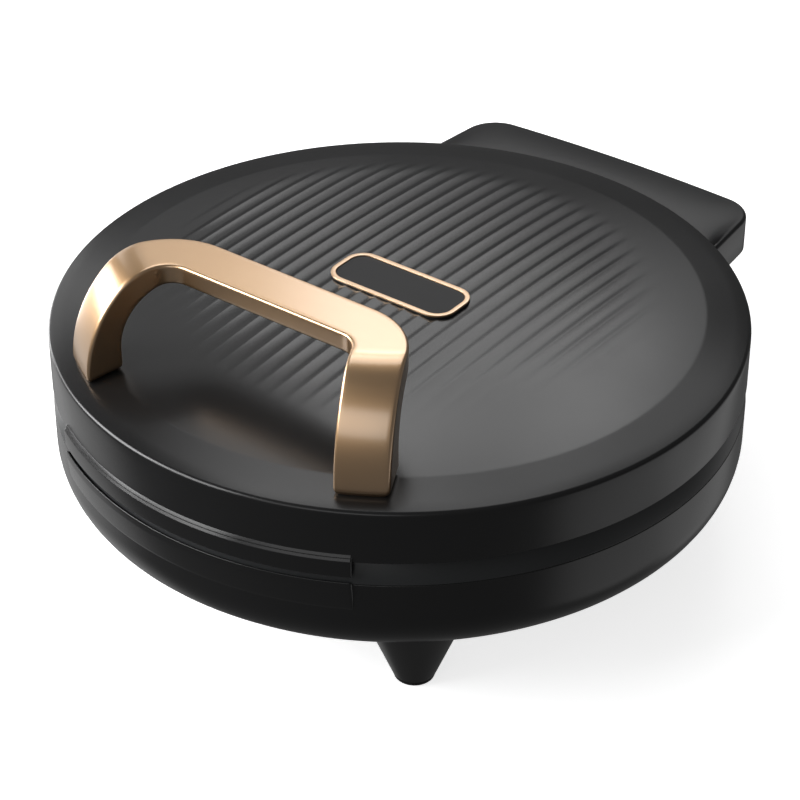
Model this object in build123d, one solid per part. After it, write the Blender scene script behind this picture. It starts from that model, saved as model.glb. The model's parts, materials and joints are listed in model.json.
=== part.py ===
"""Clamshell griddle: a round countertop cooker whose lid swings on a floating rear hinge.

Sizes are millimetres. Everything is drawn round the axis of the cooking plates, with the ground at
z = 0, the handle towards -Y and the hinge towards +Y. On export the whole part moves along Y, so that
the origin lies under the middle of its outer box.
"""
import math
import os

from build123d import *

# Overall sizes
body_radius = 163.0
foot_height = 36.0

# Walls and clearances
shell_wall = 2.5
shield_wall = 0.8
seat_gap = 0.1
slide_gap = 0.4
screw_gap = 0.05
hole_gap = 0.2
pin_gap = 0.08
pin_seat_gap = 0.02
plates_gap = 0.6
lid_gap = 1.0

# Cooking plates
plate_wall = 4.0
plate_side = 3.0
plate_rim_radius = body_radius - 7.0
plate_rim_thickness = 3.0
lower_wall_radius = plate_rim_radius - 8.5
lower_floor_radius = lower_wall_radius - 14.5
lower_depth = 27.0
lower_fillet = 6.0
upper_wall_radius = plate_rim_radius - 8.5
upper_floor_radius = upper_wall_radius - 11.5
upper_depth = 5.4
upper_fillet = 4.0

# Space and bosses under and over the plates
wiring_space = 10.5
lower_boss_length = 10.2
upper_boss_length = 9.0
boss_circle = 60.0
boss_radius = 7.0
plate_boss_radius = 5.0
boss_thread_depth = 6.2
shield_margin = 3.0
shield_lean = 13.5
lower_shield_height = 31.0
upper_shield_height = 11.0

# Heights of the base, from the floor up
base_floor_top = foot_height + shell_wall
lower_shield_top = base_floor_top + wiring_space + shield_wall
lower_floor_bottom = lower_shield_top + lower_boss_length
lower_floor_top = lower_floor_bottom + plate_wall
lower_rim_top = lower_floor_top + lower_depth
collar_ledge_drop = 2.0
collar_top = lower_rim_top - plate_rim_thickness + collar_ledge_drop
collar_ledge_height = collar_top - collar_ledge_drop
collar_height = 10.5
base_wall_top = collar_top - collar_height

# Base shell and collar
base_corner = 25.0
base_inner_radius = body_radius - shell_wall
collar_inset = 5.0
collar_top_radius = body_radius - collar_inset
collar_wall = 2.4
collar_spigot = 5.5
collar_ledge = 2.5
counterbore_depth = 6.0

# Lid shell, from its lower edge up
skirt_height = 26.0
ring_width = 20.8
ring_rise = 3.95
dome_rise = 7.55
rim_round = 1.5
lid_bottom = collar_top + lid_gap
rim_height = lid_bottom + skirt_height
dome_radius = body_radius - ring_width
dome_edge_height = rim_height + ring_rise
dome_height = dome_edge_height + dome_rise

# Front tongue of the lid and front lip of the base
front_half_angle = 30.0
front_proud = 1.6
front_overlap = 1.0
front_reach = body_radius + front_proud
tongue_drop = 6.8
tongue_bevel = 2.4
tongue_bevel_bottom = lid_bottom + 1.6
tongue_wall = 2.2
front_slot = 2.4
lip_height = 6.0
lip_taper = 6.0

# Heights of the upper plate and what it carries
upper_rim_bottom = lower_rim_top + plates_gap
upper_rim_top = upper_rim_bottom + plate_rim_thickness
upper_floor_bottom = upper_rim_bottom + upper_depth
upper_floor_top = upper_floor_bottom + plate_wall
upper_shield_bottom = upper_floor_top + upper_boss_length

# Lid frame
frame_overlap = 5.5
frame_inner_radius = plate_rim_radius - frame_overlap
frame_thickness = 2.3
frame_lip_bottom = upper_rim_bottom + hole_gap
frame_bottom = upper_rim_top + seat_gap
frame_top = frame_bottom + frame_thickness

# Heaters, thermostats and fuse
heater_radius = lower_floor_radius - 38.0
heater_tube = 3.4
heater_gap_angle = 40.0
heater_elbow = 8.0
heater_tail = 4.0
heater_hole_gap = 1.2
heater_rib = 1.5
heater_rib_gap = 0.3
heater_rib_height = 5.0
thermostat_x = 25.0
thermostat_radius = 8.0
thermostat_height = 7.0
terminal_spacing = 10.0
terminal_width = 6.0
terminal_thickness = 0.8
terminal_height = 1.6
fuse_y = -40.0
fuse_radius = 2.1
fuse_length = 16.0
fuse_lead_radius = 0.6
fuse_lead_span = 34.0
fuse_strap_width = 6.0
fuse_strap_span = 8.0
fuse_strap_wall = 1.0

# Terminal block
block_x = -45.0
block_y = 108.0
block_length = 30.0
block_width = 16.0
block_height = 8.0
block_screw_pitch = 9.0
block_screw_radius = 2.2
block_screw_depth = 4.0

# Handle
handle_rise = 53.0
handle_inset = 8.5
handle_lean_start = 3.0
handle_lean_radius = 60.0
handle_lean_angle = 45.0
handle_foot_depth = 17.5
handle_bar_thickness = 9.5
handle_inner_bend = 28.0
handle_edge = 1.2
handle_edge_start = 12.0
handle_screw_reach = 17.0
strap_width = 24.0
strap_inner_corner = 12.0
bar_inset = 75.8
leg_angle = 24.5
leg_corner = 58.9
leg_length = 110.0
handle_outer_radius = body_radius - handle_inset
bar_middle = body_radius - bar_inset

# Nameplate
nameplate_length = 69.4
nameplate_width = 28.6
nameplate_corner = 10.0
nameplate_border = 2.5
nameplate_proud = 1.3
nameplate_depth = 3.0
border_thickness = 0.9
insert_step = 0.5

# Feet
foot_inset = 38.0
foot_angle = 40.0
foot_tip_radius = 8.8
foot_half_angle = 21.5
foot_cone_extra = 12.0
foot_circle = body_radius - foot_inset
pad_height = 3.0
pad_edge = 0.6
pad_round = 1.6
pad_stem_radius = 3.0
pad_stem_length = 4.0
foot_screw_reach = 16.0

# Hinge
hinge_offset = 12.0
hinge_drop = 13.0
hinge_travel = 15.0
hinge_y = body_radius + hinge_offset
hinge_z = rim_height - hinge_drop
pin_radius = 3.0
lug_wall = 3.5
lug_radius = pin_radius + lug_wall
lug_width = 10.0
lug_outer = 30.0
stem_thickness = 6.0
stem_bottom = foot_height + 8.0
stem_top = hinge_z - 11.0
stem_rest_gap = 0.3
post_wall = 4.0
post_half_width = 38.0
post_front = body_radius - 18.0
post_bottom = foot_height + 4.0
post_top = hinge_z - 22.0
post_screw_x = 30.0
post_screw_z = foot_height + base_corner + 3.0
post_screw_reach = 5.0
cavity_half = stem_thickness / 2 + slide_gap
arm_thickness = 3.0
arm_gap = 1.0
arm_inner = lug_outer + arm_gap
arm_outer = arm_inner + arm_thickness
arm_end_radius = pin_radius + 4.0
arm_front = body_radius - 23.0
arm_top = hinge_z + arm_end_radius
arm_bottom = hinge_z - 1.0
arm_slot_gap = 1.0
tab_thickness = 1.5
tab_reach = 14.0
tab_length = 12.0
rear_tab_length = 10.5
arm_screw_x = arm_outer + 7.0
arm_screw_y = arm_front + tab_length / 2
arm_boss_radius = 4.5
arm_screw_reach = 4.0
clip_wall = 2.0
clip_thickness = 1.0
clip_gap = 0.3
clip_groove = 0.5
clip_mouth = 2.2
pin_end = 1.2

# Hinge cover
cover_overhang = 27.5
cover_back = body_radius + cover_overhang
cover_half_width = 81.8
cover_flare = 9.0
cover_corner = 17.0
cover_bow = 3.5
cover_height = 20.5
cover_top = rim_height - 2.5
cover_bottom = cover_top - cover_height
cover_edge = 2.0
cover_front = body_radius - 63.0
cover_notch_half_width = lug_outer + 4.0
cover_screw_x = arm_outer + 6.0
cover_screw_y = hinge_y - 5.0
cover_boss_radius = 4.0
cover_screw_reach = 2.3

# Cord gland
gland_x = -58.0
gland_z = foot_height + 24.0
gland_radius = 6.5
gland_neck = 12.0
gland_tip_radius = 5.0
gland_flange_radius = 9.5
gland_bore = 3.6
gland_inside = 12.0
gland_flange_inside = 9.0
gland_flange_outside = 8.0
gland_reach = 20.0
gland_wall_y = math.sqrt(body_radius ** 2 - gland_x ** 2)

# Screws: shank radius, head radius and head height of each kind
plate_screw = (2.0, 4.3, 2.5)
small_screw = (1.5, 2.7, 1.5)
arm_screw = (1.75, 3.4, 2.2)
handle_screw = (2.0, 3.8, 2.1)
foot_screw = (2.0, 4.0, 2.2)
post_screw = (2.0, 3.8, 2.6)
rim_boss_radius = 4.0
rim_screw_reach = 7.0
plate_screw_reach = 4.0
shield_screw_reach = 5.0

past = 1.0
far = 400.0
axis_shift = -(cover_back - front_reach) / 2


def outline(points):
    """A closed face from corner points, each (x, y) or (x, y, radius of its rounding)."""
    count = len(points)
    starts, ends, arcs = [], [], []
    for i in range(count):
        before, here, after = points[i - 1], points[i], points[(i + 1) % count]
        corner = Vector(here[0], here[1])
        if len(here) < 3:
            starts.append(corner)
            ends.append(corner)
            arcs.append(None)
            continue
        radius = here[2]
        back = (Vector(before[0], before[1]) - corner).normalized()
        ahead = (Vector(after[0], after[1]) - corner).normalized()
        half = math.acos(back.dot(ahead)) / 2
        reach = radius / math.tan(half)
        starts.append(corner + back * reach)
        ends.append(corner + ahead * reach)
        arcs.append(corner + (back + ahead).normalized() * (radius / math.sin(half) - radius))
    edges = []
    for i in range(count):
        if arcs[i] is not None:
            edges.append(ThreePointArc(starts[i], arcs[i], ends[i]))
        edges.append(Line(ends[i], starts[(i + 1) % count]))
    return make_face(Wire(edges))


def spin(face, angle=360.0, start=0.0):
    """A face in (radius, height) turned about the plates' axis, from a starting angle."""
    solid = revolve(Plane.XZ * face, Axis.Z, angle)
    return Rot(0, 0, start) * solid


def disc(x, y, bottom, top, radius):
    """An upright cylinder between two heights."""
    return Pos(x, y, (bottom + top) / 2) * Cylinder(radius, top - bottom)


def rod(x, z, start, end, radius, end_radius=None):
    """A cylinder or cone along Y between two places."""
    place = Pos(x, (start + end) / 2, z) * Rot(-90, 0, 0)
    if end_radius is None:
        return place * Cylinder(radius, end - start)
    return place * Cone(radius, end_radius, end - start)


def axle(x, y, z, radius, length):
    """A cylinder along X about its middle."""
    return Pos(x, y, z) * Rot(0, 90, 0) * Cylinder(radius, length)


def bar(x0, x1, y0, y1, z0, z1):
    """A block between two corners, given in any order along X."""
    return Pos((x0 + x1) / 2, (y0 + y1) / 2, (z0 + z1) / 2) * Box(abs(x1 - x0), y1 - y0, z1 - z0)


def around(radius, degrees):
    """The place at a radius and an angle from +X."""
    turn = math.radians(degrees)
    return radius * math.cos(turn), radius * math.sin(turn)


def upright_screw(x, y, seat, tip, kind):
    """A screw whose head rests on a seat and whose shank runs up or down to its tip."""
    shank, head, height = kind
    head_end = seat - height if tip > seat else seat + height
    body = disc(x, y, min(seat, tip), max(seat, tip), shank)
    return body + disc(x, y, min(seat, head_end), max(seat, head_end), head)


def collar_radius(height):
    """The radius of the collar's slope at a height."""
    return body_radius - collar_inset * (height - base_wall_top) / collar_height


def ring_height(radius):
    """The height of the lid's sloping ring at a radius."""
    return rim_height + ring_rise * (body_radius - radius) / ring_width


def base_envelope(gap=0.0):
    """The space inside the base's outer surface, with a gap all round."""
    radius = body_radius + gap
    floor = foot_height - gap
    return spin(outline([(0, floor), (radius, floor, base_corner + gap), (radius, base_wall_top),
                         (collar_top_radius + gap, collar_top), (0, collar_top)]))


def lid_envelope(gap=0.0):
    """The space under the lid's outer surface, raised by a gap."""
    sphere = (dome_radius ** 2 + dome_rise ** 2) / (2 * dome_rise)
    half = dome_radius / 2
    middle = dome_height - sphere + math.sqrt(sphere ** 2 - half ** 2)
    edges = [ThreePointArc((0, dome_height + gap), (half, middle + gap), (dome_radius, dome_edge_height + gap)),
             Line((dome_radius, dome_edge_height + gap), (body_radius, rim_height + gap)),
             Line((body_radius, rim_height + gap), (body_radius, lid_bottom)),
             Line((body_radius, lid_bottom), (0, lid_bottom)),
             Line((0, lid_bottom), (0, dome_height + gap))]
    return spin(make_face(Wire(edges)))


def handle_screw_place(side):
    """Where a leg's centre line crosses the circle under the middle of the handle's feet."""
    turn = math.radians(leg_angle)
    circle = handle_outer_radius - handle_foot_depth / 2
    along = leg_corner * math.sin(turn) + bar_middle * math.cos(turn)
    start = leg_corner ** 2 + bar_middle ** 2
    step = -along + math.sqrt(along ** 2 - start + circle ** 2)
    return side * (leg_corner + step * math.sin(turn)), -bar_middle - step * math.cos(turn)


boss_places = [around(boss_circle, turn) for turn in (90, 210, 330)]
foot_places = [around(foot_circle, turn) for turn in (-90 - foot_angle, -90 + foot_angle, 90 - foot_angle,
                                                      90 + foot_angle)]
rim_screw_circle = (frame_inner_radius + plate_rim_radius) / 2
rim_screw_places = [around(rim_screw_circle, turn) for turn in (45, 135, 225, 315)]
rim_screw_seat = upper_rim_bottom + small_screw[2] + hole_gap
handle_screw_places = [handle_screw_place(-1), handle_screw_place(1)]


def base_shell():
    """The bowl: floor, rounded corner, wall, front lip and bosses."""
    shell = spin(outline([(0, foot_height), (body_radius, foot_height, base_corner), (body_radius, base_wall_top),
                          (base_inner_radius, base_wall_top),
                          (base_inner_radius, base_floor_top, base_corner - shell_wall), (0, base_floor_top)]))
    lip_top = lid_bottom - tongue_drop - front_slot
    lip_foot = lip_top - lip_height - lip_taper
    clear = 2 * seat_gap
    lip = outline([(body_radius - front_overlap, lip_foot), (body_radius, lip_foot),
                   (front_reach, lip_top - lip_height), (front_reach, lip_top),
                   (collar_radius(lip_top) + clear, lip_top),
                   (body_radius + clear, base_wall_top), (body_radius - front_overlap, base_wall_top)])
    shell += spin(lip, 2 * front_half_angle, -90 - front_half_angle)
    boss_top = lower_shield_top - shield_wall
    for x, y in boss_places:
        shell += disc(x, y, base_floor_top - seat_gap, boss_top, boss_radius)
        shell -= disc(x, y, foot_height - past, foot_height + counterbore_depth, plate_screw[1] + hole_gap)
        shell -= disc(x, y, foot_height, boss_top + past, plate_screw[0] + hole_gap)
    for x, y in foot_places:
        shell -= disc(x, y, foot_height - past, base_floor_top + past, foot_screw[0] + hole_gap)
    for x in (-post_screw_x, post_screw_x):
        shell -= rod(x, post_screw_z, post_front - past, hinge_y, post_screw[0] + hole_gap)
    half = gland_neck / 2
    return shell - bar(gland_x - half, gland_x + half, gland_wall_y - gland_inside, hinge_y,
                       gland_z - half, gland_z + half)


def base_collar():
    """The sloping ring between the base wall and the lid; the lower plate hangs in it."""
    ledge_radius = lower_wall_radius + plate_side + slide_gap
    spigot = base_inner_radius - seat_gap
    return spin(outline([(body_radius, base_wall_top), (collar_top_radius, collar_top),
                         (plate_rim_radius + slide_gap, collar_top),
                         (plate_rim_radius + slide_gap, collar_ledge_height),
                         (ledge_radius, collar_ledge_height), (ledge_radius, collar_ledge_height - collar_ledge),
                         (collar_top_radius - collar_wall, collar_ledge_height - collar_ledge),
                         (spigot - collar_wall, base_wall_top),
                         (spigot - collar_wall, base_wall_top - collar_spigot),
                         (spigot, base_wall_top - collar_spigot), (spigot, base_wall_top)]))


def heater_ribs(floor, end):
    """Two cast ribs from a plate's back, one each side of the heater tube."""
    low, high = min(floor, end), max(floor, end)
    ribs = []
    rib_clear = heater_tube + heater_rib_gap
    for radius in (heater_radius - rib_clear - heater_rib, heater_radius + rib_clear):
        ribs.append(spin(outline([(radius, low), (radius + heater_rib, low), (radius + heater_rib, high),
                                  (radius, high)])))
    return ribs


def lower_plate():
    """The deep cast pan."""
    plate = spin(outline([(0, lower_floor_bottom), (lower_floor_radius + plate_wall, lower_floor_bottom,
                                                    lower_fillet + plate_side),
                          (lower_wall_radius + plate_side, collar_ledge_height),
                          (plate_rim_radius, collar_ledge_height),
                          (plate_rim_radius, lower_rim_top), (lower_wall_radius, lower_rim_top),
                          (lower_floor_radius, lower_floor_top, lower_fillet), (0, lower_floor_top)]))
    for rib in heater_ribs(lower_floor_bottom, lower_floor_bottom - heater_rib_height):
        plate += rib
    for x, y in boss_places:
        plate += disc(x, y, lower_shield_top, lower_floor_bottom + past, plate_boss_radius)
        plate -= disc(x, y, lower_shield_top - past, lower_shield_top + plate_screw_reach + past,
                      plate_screw[0] + screw_gap)
    return plate


def upper_plate():
    """The shallow cast pan, facing down."""
    plate = spin(outline([(0, upper_floor_bottom), (upper_floor_radius, upper_floor_bottom, upper_fillet),
                          (upper_wall_radius, upper_rim_bottom), (plate_rim_radius, upper_rim_bottom),
                          (plate_rim_radius, upper_rim_top), (upper_wall_radius + plate_side, upper_rim_top),
                          (upper_floor_radius + plate_side, upper_floor_top, lower_fillet), (0, upper_floor_top)]))
    for rib in heater_ribs(upper_floor_top, upper_floor_top + heater_rib_height):
        plate += rib
    for x, y in boss_places:
        plate += disc(x, y, upper_floor_top - past, upper_shield_bottom, plate_boss_radius)
        plate -= disc(x, y, upper_shield_bottom - boss_thread_depth, upper_shield_bottom + past,
                      small_screw[0] + screw_gap)
    for x, y in rim_screw_places:
        plate -= disc(x, y, upper_rim_bottom - past, rim_screw_seat, small_screw[1] + hole_gap)
        plate -= disc(x, y, upper_rim_bottom, upper_rim_top + past, small_screw[0] + hole_gap)
    return plate


def tube_heater(height, direction, tip):
    """An open ring of tube whose two ends bend away from the plate."""
    first = 90 + heater_gap_angle / 2
    edges = [CenterArc((0, 0, height), heater_radius, first, 360 - heater_gap_angle)]
    rise = Vector(0, 0, direction) * heater_elbow
    for turn, way in ((first, -1), (180 - first, 1)):
        x, y = around(heater_radius, turn)
        end = Vector(x, y, height)
        along = Vector(-y, x, 0).normalized() * way * heater_elbow
        bent = end + along + rise
        quarter = math.pi / 4
        edges.append(ThreePointArc(end, end + along * math.sin(quarter) + rise * (1 - math.cos(quarter)), bent))
        edges.append(Line(bent, Vector(bent.X, bent.Y, tip)))
    path = Wire(edges)
    section = Plane(origin=path @ 0, z_dir=path % 0) * Circle(heater_tube)
    return sweep(section, path=path)


def heater_end_places():
    """Where the two heater ends pass the shield."""
    places = []
    for turn, way in ((90 + heater_gap_angle / 2, -1), (90 - heater_gap_angle / 2, 1)):
        x, y = around(heater_radius, turn)
        places.append((x - y * way * heater_elbow / heater_radius, y + x * way * heater_elbow / heater_radius))
    return places


def shield(flat_radius, base, rise, holes):
    """A thin dish over a plate's back, leaning out to a rim that rises or drops."""
    step = shield_wall if rise > 0 else -shield_wall
    rim = flat_radius + shield_lean
    dish = spin(outline([(0, base - step), (flat_radius, base - step), (rim + shield_wall, base + rise),
                         (rim, base + rise), (flat_radius - shield_wall, base), (0, base)]))
    for x, y in boss_places:
        dish -= disc(x, y, base - 2 * shield_wall, base + 2 * shield_wall, holes + hole_gap)
    for x, y in heater_end_places():
        dish -= disc(x, y, base - 2 * shield_wall, base + 2 * shield_wall, heater_tube + heater_hole_gap)
    return dish


def lower_shield():
    """The dish that keeps the heat off the base shell."""
    return shield(lower_floor_radius + shield_margin, lower_shield_top, lower_shield_height, plate_screw[0])


def upper_shield():
    """The dish over the back of the upper plate."""
    flat = upper_floor_radius + shield_margin - shield_lean / 2
    return shield(flat, upper_shield_bottom, -upper_shield_height, small_screw[0])


def thermostat(floor, direction):
    """A snap disc thermostat on a plate's back, with two terminals."""
    top = floor + direction * thermostat_height
    tip = top + direction * terminal_height
    body = disc(thermostat_x, 0, min(floor, top), max(floor, top), thermostat_radius)
    for side in (-1, 1):
        y = side * terminal_spacing / 2
        body += bar(thermostat_x - terminal_width / 2, thermostat_x + terminal_width / 2, y - terminal_thickness / 2,
                    y + terminal_thickness / 2, min(top, tip), max(top, tip))
    return body


fuse_z = lower_floor_bottom - fuse_radius - hole_gap


def thermal_fuse():
    """A tube fuse with its two leads."""
    fuse = axle(0, fuse_y, fuse_z, fuse_radius, fuse_length)
    return fuse + axle(0, fuse_y, fuse_z, fuse_lead_radius, fuse_lead_span)


def fuse_clip():
    """The strap that holds the fuse to the plate."""
    strap = bar(-fuse_strap_width / 2, fuse_strap_width / 2, fuse_y - fuse_strap_span / 2,
                fuse_y + fuse_strap_span / 2, fuse_z - fuse_radius - fuse_strap_wall, lower_floor_bottom)
    return strap - axle(0, fuse_y, fuse_z, fuse_radius + screw_gap, fuse_length)


def terminal_block():
    """The block on the base floor where the mains lead ends."""
    top = base_floor_top + block_height
    block = bar(block_x - block_length / 2, block_x + block_length / 2, block_y - block_width / 2,
                block_y + block_width / 2, base_floor_top, top)
    for step in (-1, 0, 1):
        block -= disc(block_x + step * block_screw_pitch, block_y, top - block_screw_depth, top + past,
                      block_screw_radius)
    return block


def cord_gland(shell):
    """The strain relief in the rear wall's square hole; its bore takes the mains lead."""
    inner_end = gland_wall_y - gland_inside
    flange_end = gland_wall_y + gland_flange_outside
    outer_end = gland_wall_y + gland_reach
    gland = rod(gland_x, gland_z, inner_end, flange_end, gland_radius)
    gland += rod(gland_x, gland_z, flange_end, outer_end, gland_radius, gland_tip_radius)
    gland += rod(gland_x, gland_z, gland_wall_y - gland_flange_inside, flange_end, gland_flange_radius)
    gland -= shell
    return gland - rod(gland_x, gland_z, inner_end - past, outer_end + past, gland_bore)


def feet():
    """Four tapered feet that follow the base's underside."""
    spread = math.tan(math.radians(foot_half_angle))
    reach = foot_height + foot_cone_extra
    cone = outline([(0, pad_height), (foot_tip_radius + spread * pad_height, pad_height),
                    (foot_tip_radius + spread * reach, reach), (0, reach)])
    under = base_envelope(seat_gap)
    group = []
    for x, y in foot_places:
        foot = Pos(x, y, 0) * spin(cone) - under
        foot -= disc(x, y, pad_height - past, pad_height + pad_stem_length + seat_gap, pad_stem_radius + seat_gap)
        foot -= disc(x, y, foot_height - foot_screw_reach - past, foot_height + past, foot_screw[0] + screw_gap)
        group.append(foot)
    return Compound(children=group)


def foot_pads():
    """Rubber pads pressed into the feet."""
    edge = foot_tip_radius + pad_edge
    face = outline([(0, 0), (edge, 0, pad_round), (edge, pad_height), (0, pad_height)])
    group = []
    for x, y in foot_places:
        group.append(Pos(x, y, 0) * spin(face) + disc(x, y, 0, pad_height + pad_stem_length, pad_stem_radius))
    return Compound(children=group)


def foot_screws():
    """Screws from inside the base shell into the feet."""
    tip = foot_height - foot_screw_reach
    return Compound(children=[upright_screw(x, y, base_floor_top, tip, foot_screw) for x, y in foot_places])


def plate_screws():
    """Screws from under the base through shell and shield into the lower plate."""
    seat = foot_height + counterbore_depth
    tip = lower_shield_top + plate_screw_reach
    return Compound(children=[upright_screw(x, y, seat, tip, plate_screw) for x, y in boss_places])


def lid_shell():
    """The lid: shallow dome, sloping ring, skirt, front tongue and the bosses inside."""
    hollow = lid_envelope() & disc(0, 0, 0, far, body_radius - shell_wall)
    shell = lid_envelope() - Pos(0, 0, -shell_wall) * hollow
    shell = fillet(shell.edges().filter_by(GeomType.CIRCLE).filter_by(is_rim_edge), rim_round)
    tongue_bottom = lid_bottom - tongue_drop
    bevel_top = tongue_bevel_bottom + tongue_bevel
    tongue_inner = front_reach - tongue_wall
    lap = body_radius - front_overlap
    tongue = outline([(lap, bevel_top), (body_radius, bevel_top), (front_reach, tongue_bevel_bottom),
                      (front_reach, tongue_bottom), (tongue_inner, tongue_bottom), (tongue_inner, lid_bottom),
                      (lap, lid_bottom)])
    shell += spin(tongue, 2 * front_half_angle, -90 - front_half_angle)
    for x, y in rim_screw_places:
        shell += disc(x, y, frame_top, rim_height, rim_boss_radius)
        shell -= disc(x, y, frame_top - past, frame_top + rim_screw_reach + past, small_screw[0] + screw_gap)
    for side in (-1, 1):
        x = side * arm_screw_x
        shell += disc(x, arm_screw_y, arm_top, rim_height, arm_boss_radius)
        shell -= disc(x, arm_screw_y, arm_top - past, arm_top + arm_screw_reach + hole_gap, arm_screw[0] + screw_gap)
        shell -= bar(side * (arm_inner - arm_slot_gap), side * (arm_outer + arm_slot_gap),
                     arm_front + tab_length + past, hinge_y, arm_bottom - arm_slot_gap, arm_top + arm_slot_gap)
    for x, y in handle_screw_places:
        shell -= disc(x, y, rim_height - handle_foot_depth, dome_height, handle_screw[0] + hole_gap)
    return shell


def is_rim_edge(edge):
    """Whether an edge is the outer top edge of the lid."""
    return abs(edge.radius - body_radius) < 0.01 and abs(edge.bounding_box().max.Z - rim_height) < 0.01


def lid_frame():
    """The ring that closes the lid between its skirt and the upper plate."""
    outer = body_radius - shell_wall - 2 * seat_gap
    lip = plate_rim_radius + slide_gap
    ring = spin(outline([(lip, frame_lip_bottom), (outer, frame_lip_bottom), (outer, frame_top),
                         (frame_inner_radius, frame_top), (frame_inner_radius, frame_bottom), (lip, frame_bottom)]))
    for x, y in rim_screw_places:
        ring -= disc(x, y, frame_bottom - past, frame_top + past, small_screw[0] + hole_gap)
    return ring


def rim_screws():
    """Sunk screws that hold the upper plate and the frame to the lid."""
    tip = frame_top + rim_screw_reach
    return Compound(children=[upright_screw(x, y, rim_screw_seat, tip, small_screw) for x, y in rim_screw_places])


def shield_screws():
    """Screws that hold the upper shield on the plate's bosses."""
    seat = upper_shield_bottom + shield_wall
    tip = upper_shield_bottom - shield_screw_reach
    return Compound(children=[upright_screw(x, y, seat, tip, small_screw) for x, y in boss_places])


def handle():
    """The arch: a strap bent over from two feet on the ring to a bar across the front."""
    lean = math.radians(handle_lean_angle)
    start = rim_height + handle_lean_start
    top = rim_height + handle_rise
    under = top - handle_bar_thickness
    inner_radius = handle_outer_radius - handle_foot_depth
    centre = handle_outer_radius - handle_lean_radius
    bend = handle_inner_bend
    knee = Vector(centre + handle_lean_radius * math.cos(lean), start + handle_lean_radius * math.sin(lean))
    crown = (top - knee.Y) / (1 - math.sin(lean))
    crown_centre = Vector(knee.X - crown * math.cos(lean), top - crown)
    half_lean = lean / 2
    half_crown = (lean + math.pi / 2) / 2
    quarter = math.pi / 4
    on_lean = (centre + handle_lean_radius * math.cos(half_lean), start + handle_lean_radius * math.sin(half_lean))
    on_crown = (crown_centre.X + crown * math.cos(half_crown), crown_centre.Y + crown * math.sin(half_crown))
    on_bend = (inner_radius - bend * (1 - math.cos(quarter)), under - bend * (1 - math.sin(quarter)))
    edges = [Line((handle_outer_radius, lid_bottom), (handle_outer_radius, start)),
             ThreePointArc((handle_outer_radius, start), on_lean, knee),
             ThreePointArc(knee, on_crown, (crown_centre.X, top)),
             Line((crown_centre.X, top), (bar_middle / 2, top)),
             Line((bar_middle / 2, top), (bar_middle / 2, under)),
             Line((bar_middle / 2, under), (inner_radius - bend, under)),
             ThreePointArc((inner_radius - bend, under), on_bend, (inner_radius, under - bend)),
             Line((inner_radius, under - bend), (inner_radius, lid_bottom)),
             Line((inner_radius, lid_bottom), (handle_outer_radius, lid_bottom))]
    arch = spin(make_face(Wire(edges)), 120, -150)
    arch &= extrude(strap_plan(), far)
    arch = fillet(arch.edges().filter_by(is_strap_edge), handle_edge)
    arch -= lid_envelope(seat_gap)
    for x, y in handle_screw_places:
        arch -= disc(x, y, rim_height, rim_height + handle_screw_reach + past, handle_screw[0] + screw_gap)
    return arch


def is_strap_edge(edge):
    """Whether an edge runs along the strap, above its feet."""
    return edge.bounding_box().max.Z > rim_height + handle_edge_start


def strap_plan():
    """The handle from above: two legs drawn in from the rim to a bar across."""
    turn = math.radians(leg_angle)
    half = strap_width / 2
    outward = Vector(math.sin(turn), -math.cos(turn))
    across = Vector(math.cos(turn), math.sin(turn))
    corner = Vector(leg_corner, -bar_middle)

    def meet(offset, level):
        """Where a leg's edge crosses a level line of the bar."""
        start = corner + across * offset
        return start + outward * ((level - start.Y) / outward.Y)

    outer = meet(half, -bar_middle + half)
    inner = meet(-half, -bar_middle - half)
    end_outer = corner + across * half + outward * leg_length
    end_inner = corner - across * half + outward * leg_length
    outer_corner = strap_inner_corner + strap_width
    return outline([(end_outer.X, end_outer.Y), (outer.X, outer.Y, outer_corner),
                    (-outer.X, outer.Y, outer_corner), (-end_outer.X, end_outer.Y),
                    (-end_inner.X, end_inner.Y), (-inner.X, inner.Y, strap_inner_corner),
                    (inner.X, inner.Y, strap_inner_corner), (end_inner.X, end_inner.Y)])


def handle_screws():
    """Screws from inside the lid up into the handle's feet."""
    circle = handle_outer_radius - handle_foot_depth / 2
    seat = ring_height(circle + handle_screw[1]) - shell_wall
    tip = rim_height + handle_screw_reach
    return Compound(children=[upright_screw(x, y, seat, tip, handle_screw) for x, y in handle_screw_places])


def nameplate_blank(inset, top):
    """A rounded plate on the dome, drawn in from the nameplate's edge."""
    plan = RectangleRounded(nameplate_length - 2 * inset, nameplate_width - 2 * inset, nameplate_corner - inset)
    plate = Pos(0, 0, dome_height - nameplate_depth) * extrude(plan, top - dome_height + nameplate_depth)
    return plate - lid_envelope(screw_gap)


def nameplate_frame():
    """The raised border, a thin ring that lies on the rim of the nameplate's panel."""
    top = dome_height + nameplate_proud
    return nameplate_blank(0, top) - nameplate_blank(0, top - border_thickness) - nameplate_blank(nameplate_border,
                                                                                                 top + past)


def nameplate_insert():
    """The nameplate's panel: a bare middle, and a lower rim under the border."""
    top = dome_height + nameplate_proud
    foot = nameplate_blank(0, top - border_thickness)
    return foot + nameplate_blank(nameplate_border + screw_gap, top - insert_step)


def hinge_post():
    """The socket on the back of the base in which the hinge carriage floats."""
    back = hinge_y + cavity_half + post_wall
    post = bar(-post_half_width, post_half_width, post_front, back, post_bottom, post_top)
    post -= base_envelope(seat_gap)
    cavity = lug_outer + slide_gap
    post -= bar(-cavity, cavity, hinge_y - cavity_half, hinge_y + cavity_half, stem_bottom - stem_rest_gap,
                post_top + past)
    for x in (-post_screw_x, post_screw_x):
        post -= rod(x, post_screw_z, post_front, body_radius + post_screw_reach + past, post_screw[0] + screw_gap)
    return post


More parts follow.
